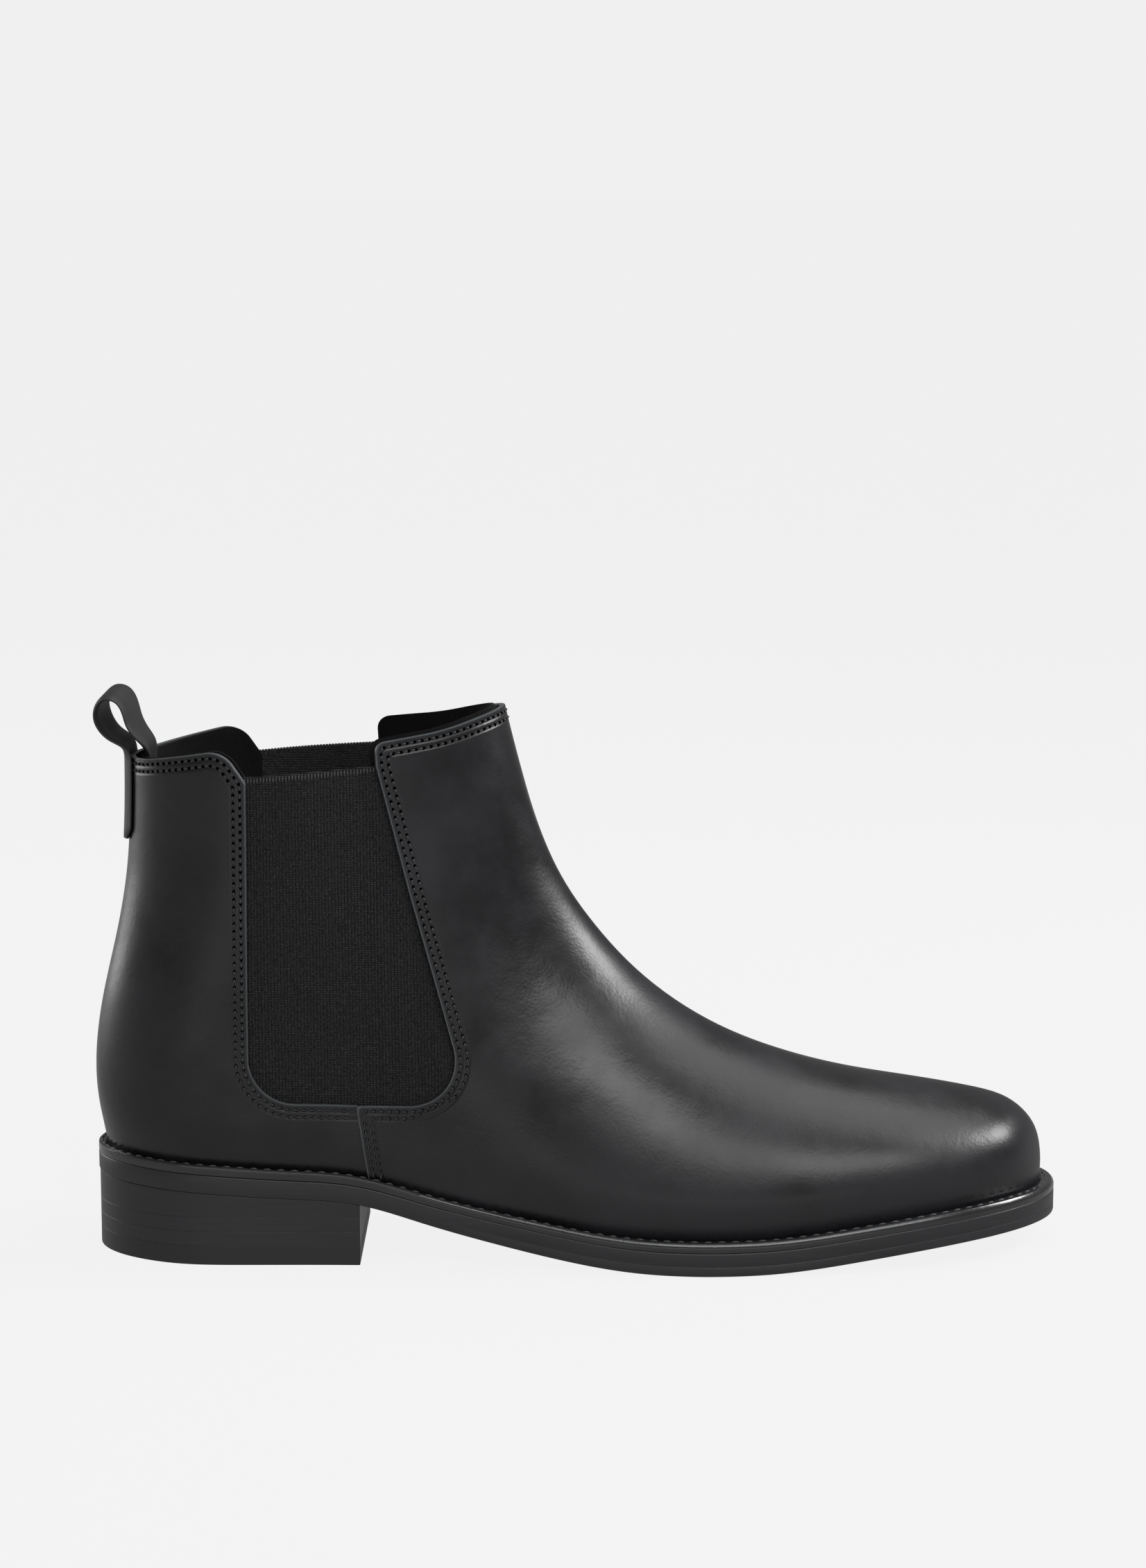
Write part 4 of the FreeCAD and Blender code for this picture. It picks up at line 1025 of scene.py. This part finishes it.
def stitch_row(edge, inset, side, middle, lift=None):
    """Points of a row at a distance inside a cut edge; side is -1 outer, +1 inner."""
    point, along, up = surface(edge[:, 0], edge[:, 1])
    normal = unit(np.cross(along, up))
    tangent = unit(np.gradient(point, axis=0))
    inward = unit(np.cross(tangent, normal))
    if inward[3, 2] > 0:
        inward = -inward
    rows = []
    for a, b, d in zip(along, up, inward * inset):
        rows.append(np.linalg.lstsq(np.stack([a, b], axis=1), d, rcond=None)[0])
    spots = edge + np.array(rows)
    at, _ = skin(spots[:, 0], spots[:, 1])
    good = (nearest(at, point) > inset - 0.12) & (at[:, 2] > welt_top(at[:, 0]) + 0.8)
    spots = spots[good]
    at, normal = skin(spots[:, 0], spots[:, 1])
    if side > 0:
        turned = spots * [-1, 1] + [2 * middle, 0]
        at, normal = skin(turned[:, 0], turned[:, 1])
    return (at if lift is None else at + normal * lift(at)[:, None]), normal


def sew(name, rows, pitch, material, shape, start, rise, slot, seed, **where):
    """Threads or holes on rows, raised by rise millimetres over the leather."""
    lines = [(p + n * rise, n) for p, n in rows]
    made = grown_by(REPEAT, name, lines, Piece=shape, Pitch=pitch * MM, Start=start * MM, Unevenness=0.06,
                    Seed=seed, Material=material)
    return settle(made, slot, **where)


vamp_rows = [stitch_row(vamp_edge, row, side, STEPS, lift=lap) for row in STITCH_ROWS for side in (-1, 1)]
quarter_rows = []
for row in STITCH_ROWS:
    for side in (-1, 1):
        at, normal = stitch_row(quarter_edge, row, side, 0)
        above_seam = at[:, 2] > SEAM_TOP[1] + 2.0 - row - 0.3
        quarter_rows.append((at[above_seam], normal[above_seam]))
for piece, rows, bend, seed in (("vamp", vamp_rows, TOE_BEND, 1), ("quarter", quarter_rows, COLLAR_BEND, 3)):
    sew(piece + "_stitches", rows, STITCH_PITCH, THREAD, stitch, 0.0, 0.16, "upper_leather", seed, bend=bend)
    # the needle holes sewn here are discs of painted shade
    sew(piece + "_needle_holes", rows, STITCH_PITCH, HOLE_SHADE, hole, STITCH_PITCH / 2, 0.12, "upper_leather", seed + 1,
        bend=bend)

# %% Welt stitches
WELT_PITCH = 4.2
welt_x = feather[:, 0]
welt_row_offset = mix(1.5, 2.2, ease((welt_x - 90) / 60))
welt_row = np.column_stack([outline(welt_row_offset), welt_top(welt_x) + 0.02])
welt_row = np.vstack([welt_row, welt_row[:1]])
welt_up = np.tile([0.0, 0.0, 1.0], (len(welt_row), 1))
welt_stitch = lens_shape("welt_stitch", 3.1, 0.75, 0.6, 0.35)
WELT_THREAD = thread("welt_thread", (0.030, 0.031, 0.033), (0.065, 0.067, 0.070))
sew("welt_stitches", [(welt_row, welt_up)], WELT_PITCH, WELT_THREAD, welt_stitch, 0.0, 0.0, "welt", 5,
    bend=TOE_BEND)

# %% [markdown]
# The elastic panel, or gore, is a woven band: a thin backing with round ribs about a millimetre apart.
# Each rib is a cord along the surface. Fine cross threads show between them, so the finish adds a weave
# in Z, and the top edge ends in a selvedge with a row of light ticks.

# %% Elastic gores
RIB_PITCH, RIB_RADIUS, RIB_DEPTH = 1.0, 0.40, 0.42
RIB_SLOPE = (152.0, 56.0, 29.0)     # the ribs' front end: its upper and lower height, and how long it is
RIB_FOOT, RIB_CORNER = 47.0, 6.0    # height of the ribs' lower end, and how far it rises in the corners
BACKING_DEPTH, BACKING = 0.45, 0.75
GORE_MARGIN = 8.0
GORE_DEPTH = LEATHER + LAYER_GAP


def elastic():
    finish = Finish("elastic", Roughness=0.85, Sheen_Weight=0.12, Sheen_Roughness=0.4, Specular_IOR_Level=0.3)
    picks = finish.node("ShaderNodeTexWave", {"wave_type": "BANDS", "bands_direction": "Z"},
                        Vector=finish.coordinates, Scale=570.0, Distortion=0.6, Detail=1.0).outputs["Fac"]
    speck = finish.noise(1400, 3.0, rough=0.7)
    weave = finish.math("MULTIPLY", picks, finish.ramp(speck, 0.3, 0.75))
    finish.color(finish.blend(weave, (0.009, 0.009, 0.010), (0.088, 0.088, 0.096)))
    finish.bump(picks, 0.00022, 0.7)
    return finish.material


ELASTIC = elastic()


def gore_top(x):
    return mix(GORE_BACK[1], GORE_FRONT[1], (x - GORE_BACK[0]) / (GORE_FRONT[0] - GORE_BACK[0]))


def gore_loop():
    back, front = GORE_BACK[0] - GORE_MARGIN, GORE_FRONT[0] + GORE_MARGIN
    corners = [(front, gore_top(front)), (back, gore_top(back)), (42.3, 43.6, GORE_CORNER),
               (125.6, 42.8, GORE_CORNER), (107.4, 116.3, 400.0), (front, gore_top(front))]
    path = rounded(corners, 1.2)[:-1]
    return np.stack(unrolled(path[:, 0], path[:, 1]), axis=1)


def rib_lines(side):
    """Upright lines along the panel, a little inside its outline, for one side."""
    lines = []
    for x in GORE_BACK[0] - 4.0 + RIB_PITCH * np.arange(int((GORE_FRONT[0] + 41 - GORE_BACK[0]) / RIB_PITCH)):
        slope = GORE_FRONT[0] + 4.0     # in front of this the panel's edge slopes down to its lower corner
        top = gore_top(x) if x < slope else mix(*RIB_SLOPE[:2], ((x - slope) / RIB_SLOPE[2]) ** 0.8)
        low = RIB_FOOT + RIB_CORNER * (max((x - 108.0) / 14.0, 0.0) + max((56.0 - x) / 10.0, 0.0))
        if top - low < 4:
            continue
        z = np.arange(low, top + 0.01, (top - low) / max(int((top - low) / 2.0), 2))
        turn, ring = unrolled(np.full(len(z), x), z)
        lines.append(skin(turn if side < 0 else 2 * STEPS - turn, ring, GORE_DEPTH + RIB_DEPTH))
    return lines


panel = gore_loop()
for side, node in ((-1, "gore_outer"), (1, "gore_inner")):
    loop = panel if side < 0 else (panel * [-1, 1] + [2 * STEPS, 0])[::-1]
    finished(sheet_mesh(node + "_backing", loop, np.ones(len(loop), bool), GORE_DEPTH + BACKING_DEPTH, BACKING,
                        COARSE, 0.2), ELASTIC, "gore_elastic", bend=COLLAR_BEND, replaces=(node,))
    ribs = grown_by(CORD, node + "_ribs", rib_lines(side), Radius=RIB_RADIUS * MM, Step=1.1 * MM, Sides=6,
                    Material=ELASTIC)
    settle(ribs, "gore_elastic", bend=COLLAR_BEND)

# %% Selvedge ticks
tick = lens_shape("tick", 1.5, 0.42, 0.3, 0.1, rings=3)
TICK = thread("selvedge_thread", (0.05, 0.05, 0.053), (0.11, 0.112, 0.118))
TICK_PITCH, TICK_DROP = 1.0, 1.0
xs = np.arange(GORE_BACK[0] - 1, GORE_FRONT[0] + 1, TICK_PITCH)
for side, name in ((-1, "outer"), (1, "inner")):
    turn, ring = unrolled(xs, gore_top(xs) - TICK_DROP)
    at, normal = skin(turn if side < 0 else 2 * STEPS - turn, ring, GORE_DEPTH - 0.02)
    lines = []
    for p, n in zip(at, normal):
        lines.append((np.array([p - (0, 0, 0.2), p + (0, 0, 0.2)]), np.array([n, n])))
    made = grown_by(REPEAT, "gore_" + name + "_selvedge", lines, Piece=tick, Pitch=0.5 * MM, Start=0.2 * MM,
                    Unevenness=0.15, Seed=6, Material=TICK)
    settle(made, "gore_elastic", bend=COLLAR_BEND)

# %% [markdown]
# The pull tab is one strap. It is sewn down outside the back seam, loops up over the collar, and is sewn
# again inside. Its middle line is a curve through chosen points; the loop leans and twists a little, as
# a strap that has been pulled does.

# %% Pull tab
STRAP, STRAP_WIDTH, TAB_END = 1.6, 20.0, 129.6
LOOP = [(9.9, 159.0), (6.6, 161.6), (3.9, 166.0), (3.3, 170.4), (5.6, 174.2), (9.3, 174.0), (11.9, 170.6),
        (13.3, 165.6), (14.9, 161.9), (16.9, 158.4)]


def strap_line():
    """Middle line of the strap in side view, from the outer end round to the inner end."""
    outer = [(float(back_x(z)) - 0.95, z) for z in (TAB_END, 136.0, 142.0, 148.0, 153.0)]
    inner = [(float(back_x(z)) + LINING_DEPTH + LINING + 0.95, z) for z in (153.5, 148.0, 142.0, 136.0, 131.0)]
    points = np.array(outer + LOOP + inner)
    run = np.concatenate([[0], np.cumsum(np.linalg.norm(np.diff(points, axis=0), axis=1))])
    x, z = smooth(np.column_stack([run, points[:, 0]])), smooth(np.column_stack([run, points[:, 1]]))
    at = np.linspace(0, run[-1], 150)
    return np.column_stack([x(at), z(at)])


def strap_mesh():
    line = strap_line()
    across = np.linspace(-1, 1, 15)
    section = [(y, 1) for y in across] + [(y, -1) for y in across[::-1]]
    tangent = unit(np.gradient(line, axis=0))
    normal = np.column_stack([-tangent[:, 1], tangent[:, 0]])
    points, count = [], len(section)
    for (x, z), (nx, nz) in zip(line, normal):
        free = float(ease((z - 154.0) / 14.0))
        end = 1 - float(ease((z - TAB_END) / 4.5)) if x < 12 else 0.0
        half = STRAP_WIDTH / 2 - 3.2 * end ** 1.6
        for y, s in section:
            thick = STRAP / 2 * (1 - 0.75 * abs(y) ** 10)
            wide = y * half
            wrap = 50.0 * (1 - math.sqrt(1 - (wide / SHAFT_HALF_WIDTH) ** 2)) * (1 - free)
            points.append((x + nx * s * thick + wrap + 1.2 * y * free, wide, z + nz * s * thick + 1.1 * y * free))
    faces = bands([r * count for r in range(len(line))], count)
    faces += [list(range(count)), [v + (len(line) - 1) * count for v in range(count)]]
    return new_mesh("pull_tab", np.array(points), faces)


STRAP_LEATHER = two_tone("strap_leather", (0.015, 0.015, 0.016), (0.032, 0.032, 0.034), ("noise", 90, 4.0),
                         [(("noise", 900, 4.0, (1, 0.3, 1)), 0.00012, 0.6)], Roughness=0.55)
finished(strap_mesh(), STRAP_LEATHER, "strap_leather", bend=TAB_BEND,
         replaces=("pull_tab_outer_leg", "pull_tab_inner_leg", "pull_loop"))

# %% [markdown]
# Some pieces never show: the insole and its canvas rib, the cork, the steel shank with its rivets, the
# heel nails, the toe puff and the heel counter. The engineering model's own shapes stay for them.

# %% Finishes for the inner pieces
def grainy(name, dark, light, scale, rough, metallic=0.0, depth=0.0002):
    return two_tone(name, dark, light, ("cells", scale), [(("noise", scale * 2, 3.0), depth, 0.6)],
                    Roughness=rough, Metallic=metallic)


hidden = {
    "cork_filler": grainy("cork", (0.22, 0.12, 0.06), (0.50, 0.34, 0.20), 500, 0.9),
    "insole_board": grainy("board_leather", (0.35, 0.22, 0.12), (0.50, 0.34, 0.20), 1200, 0.7),
    "insole_rib": grainy("rib_canvas", (0.55, 0.50, 0.40), (0.78, 0.73, 0.62), 1500, 0.95),
    "steel_shank": grainy("shank_steel", (0.50, 0.51, 0.53), (0.60, 0.61, 0.63), 700, 0.35, 1.0, 0.00002),
    "shank_rivets": grainy("rivet_steel", (0.45, 0.45, 0.46), (0.58, 0.58, 0.60), 900, 0.4, 1.0, 0.00002),
    "heel_nails": grainy("nail_steel", (0.40, 0.40, 0.41), (0.55, 0.55, 0.56), 900, 0.45, 1.0, 0.00002),
    "toe_puff": grainy("puff_fibre", (0.50, 0.45, 0.36), (0.66, 0.60, 0.50), 1000, 0.9),
    "heel_counter": grainy("counter_fibre", (0.42, 0.33, 0.24), (0.60, 0.50, 0.38), 1000, 0.9)}
for start, material in hidden.items():
    for name, node in frame["nodes"].items():
        if name.startswith(start):
            node.data.materials.clear()
            node.data.materials.append(material)
for template in (stitch, hole, welt_stitch, tick):
    bpy.data.objects.remove(template)
print("inner pieces finished:", ", ".join(sorted(hidden)))

# %% [markdown]
# The studio: a flat floor that is white to the camera and dim to the light, under a plain pale world, and
# five soft boxes: overhead, over the instep, above the front, behind on the left, and a low strip in
# front. The camera is a long lens 1.3 m in front of the boot's middle plane and a little above the boot.

# %% Floor
FLOOR_GLOW, FLOOR_DIM, FLOOR_ALBEDO = 0.860, 0.36, 0.040


def flat_white(tree, lit):
    """White to the camera, and a dim surface to the light, so that the boot stays dark."""
    path = tree.nodes.new("ShaderNodeLightPath")
    glow = add_nodes(tree, "ShaderNodeEmission", Color=(1.0, 1.0, 1.0, 1.0), Strength=FLOOR_GLOW)
    both = tree.nodes.new("ShaderNodeAddShader")
    tree.links.new(glow.outputs[0], both.inputs[0])
    tree.links.new(lit, both.inputs[1])
    pick = tree.nodes.new("ShaderNodeMixShader")
    tree.links.new(path.outputs["Is Camera Ray"], pick.inputs[0])
    dim = add_nodes(tree, "ShaderNodeEmission", Strength=FLOOR_DIM)
    tree.links.new(dim.outputs[0], pick.inputs[1])
    tree.links.new(both.outputs[0], pick.inputs[2])
    return pick.outputs[0]


def pale_floor():
    mesh = bpy.data.meshes.new("floor")
    mesh.from_pydata([(-30, -30, 0), (30, -30, 0), (30, 30, 0), (-30, 30, 0)], [], [[0, 1, 2, 3]])
    obj = add_object("floor", mesh)
    finish = Finish("pale_floor", Roughness=1.0, Base_Color=(*[FLOOR_ALBEDO] * 3, 1.0), Specular_IOR_Level=0.0)
    output = finish.tree.nodes["Material Output"]
    finish.tree.links.new(flat_white(finish.tree, finish.shader.outputs[0]), output.inputs["Surface"])
    mesh.materials.append(finish.material)


pale_floor()


# %% Lights
def softbox(name, place, aim, width, height, power):
    data = bpy.data.lights.new(name, "AREA")
    data.shape = "RECTANGLE"
    data.size, data.size_y, data.energy = width, height, power
    obj = bpy.data.objects.new(name, data)
    bpy.context.scene.collection.objects.link(obj)
    obj.location = place
    obj.rotation_mode = "QUATERNION"
    obj.rotation_quaternion = (Vector(aim) - Vector(place)).to_track_quat("-Z", "Y")


softbox("overhead", (0.45, 0.30, 1.25), (0.05, 0.0, 0.05), 1.3, 0.7, 5.5)
softbox("instep", (1.05, 0.10, 0.85), (0.0, 0.0, 0.06), 0.40, 0.40, 8.0)
softbox("front_top", (0.35, -1.05, 1.15), (0.05, 0.0, 0.04), 1.4, 0.5, 9.5)
softbox("behind_left", (-1.3, 0.9, 0.5), (-0.1, 0.0, 0.06), 0.8, 1.0, 8.0)
softbox("low_front", (-0.1, -1.7, 0.12), (0.0, 0.0, 0.03), 2.2, 0.20, 1.6)
WORLD_LIGHT, WORLD_WHITE = 0.15, 0.872      # the world's strength for the boot, and as the camera sees it
world = bpy.data.worlds.new("studio")
bpy.context.scene.world = world
world.use_nodes = True
nodes, links = world.node_tree.nodes, world.node_tree.links
rays = nodes.new("ShaderNodeLightPath")
strength = nodes.new("ShaderNodeMapRange")
strength.inputs["To Min"].default_value, strength.inputs["To Max"].default_value = WORLD_LIGHT, WORLD_WHITE
links.new(rays.outputs["Is Camera Ray"], strength.inputs["Value"])
links.new(strength.outputs[0], nodes["Background"].inputs["Strength"])
nodes["Background"].inputs["Color"].default_value = (1.0, 1.0, 1.0, 1.0)
bpy.context.scene.view_settings.view_transform = "Standard"

# %% Camera
data = bpy.data.cameras.new("camera")
camera = bpy.data.objects.new("camera", data)
bpy.context.scene.collection.objects.link(camera)
CAMERA_SPOT = (149.8, -1300.0, 339.0)
CAMERA_PITCH = 10.8
data.lens, data.sensor_width = 96.7, 36.0
data.shift_y = 0.110
data.clip_start, data.clip_end = 0.01, 50.0
camera.location = placed([CAMERA_SPOT])[0]
camera.rotation_euler = (math.radians(90 - CAMERA_PITCH), 0.0, 0.0)
bpy.context.scene.camera = camera
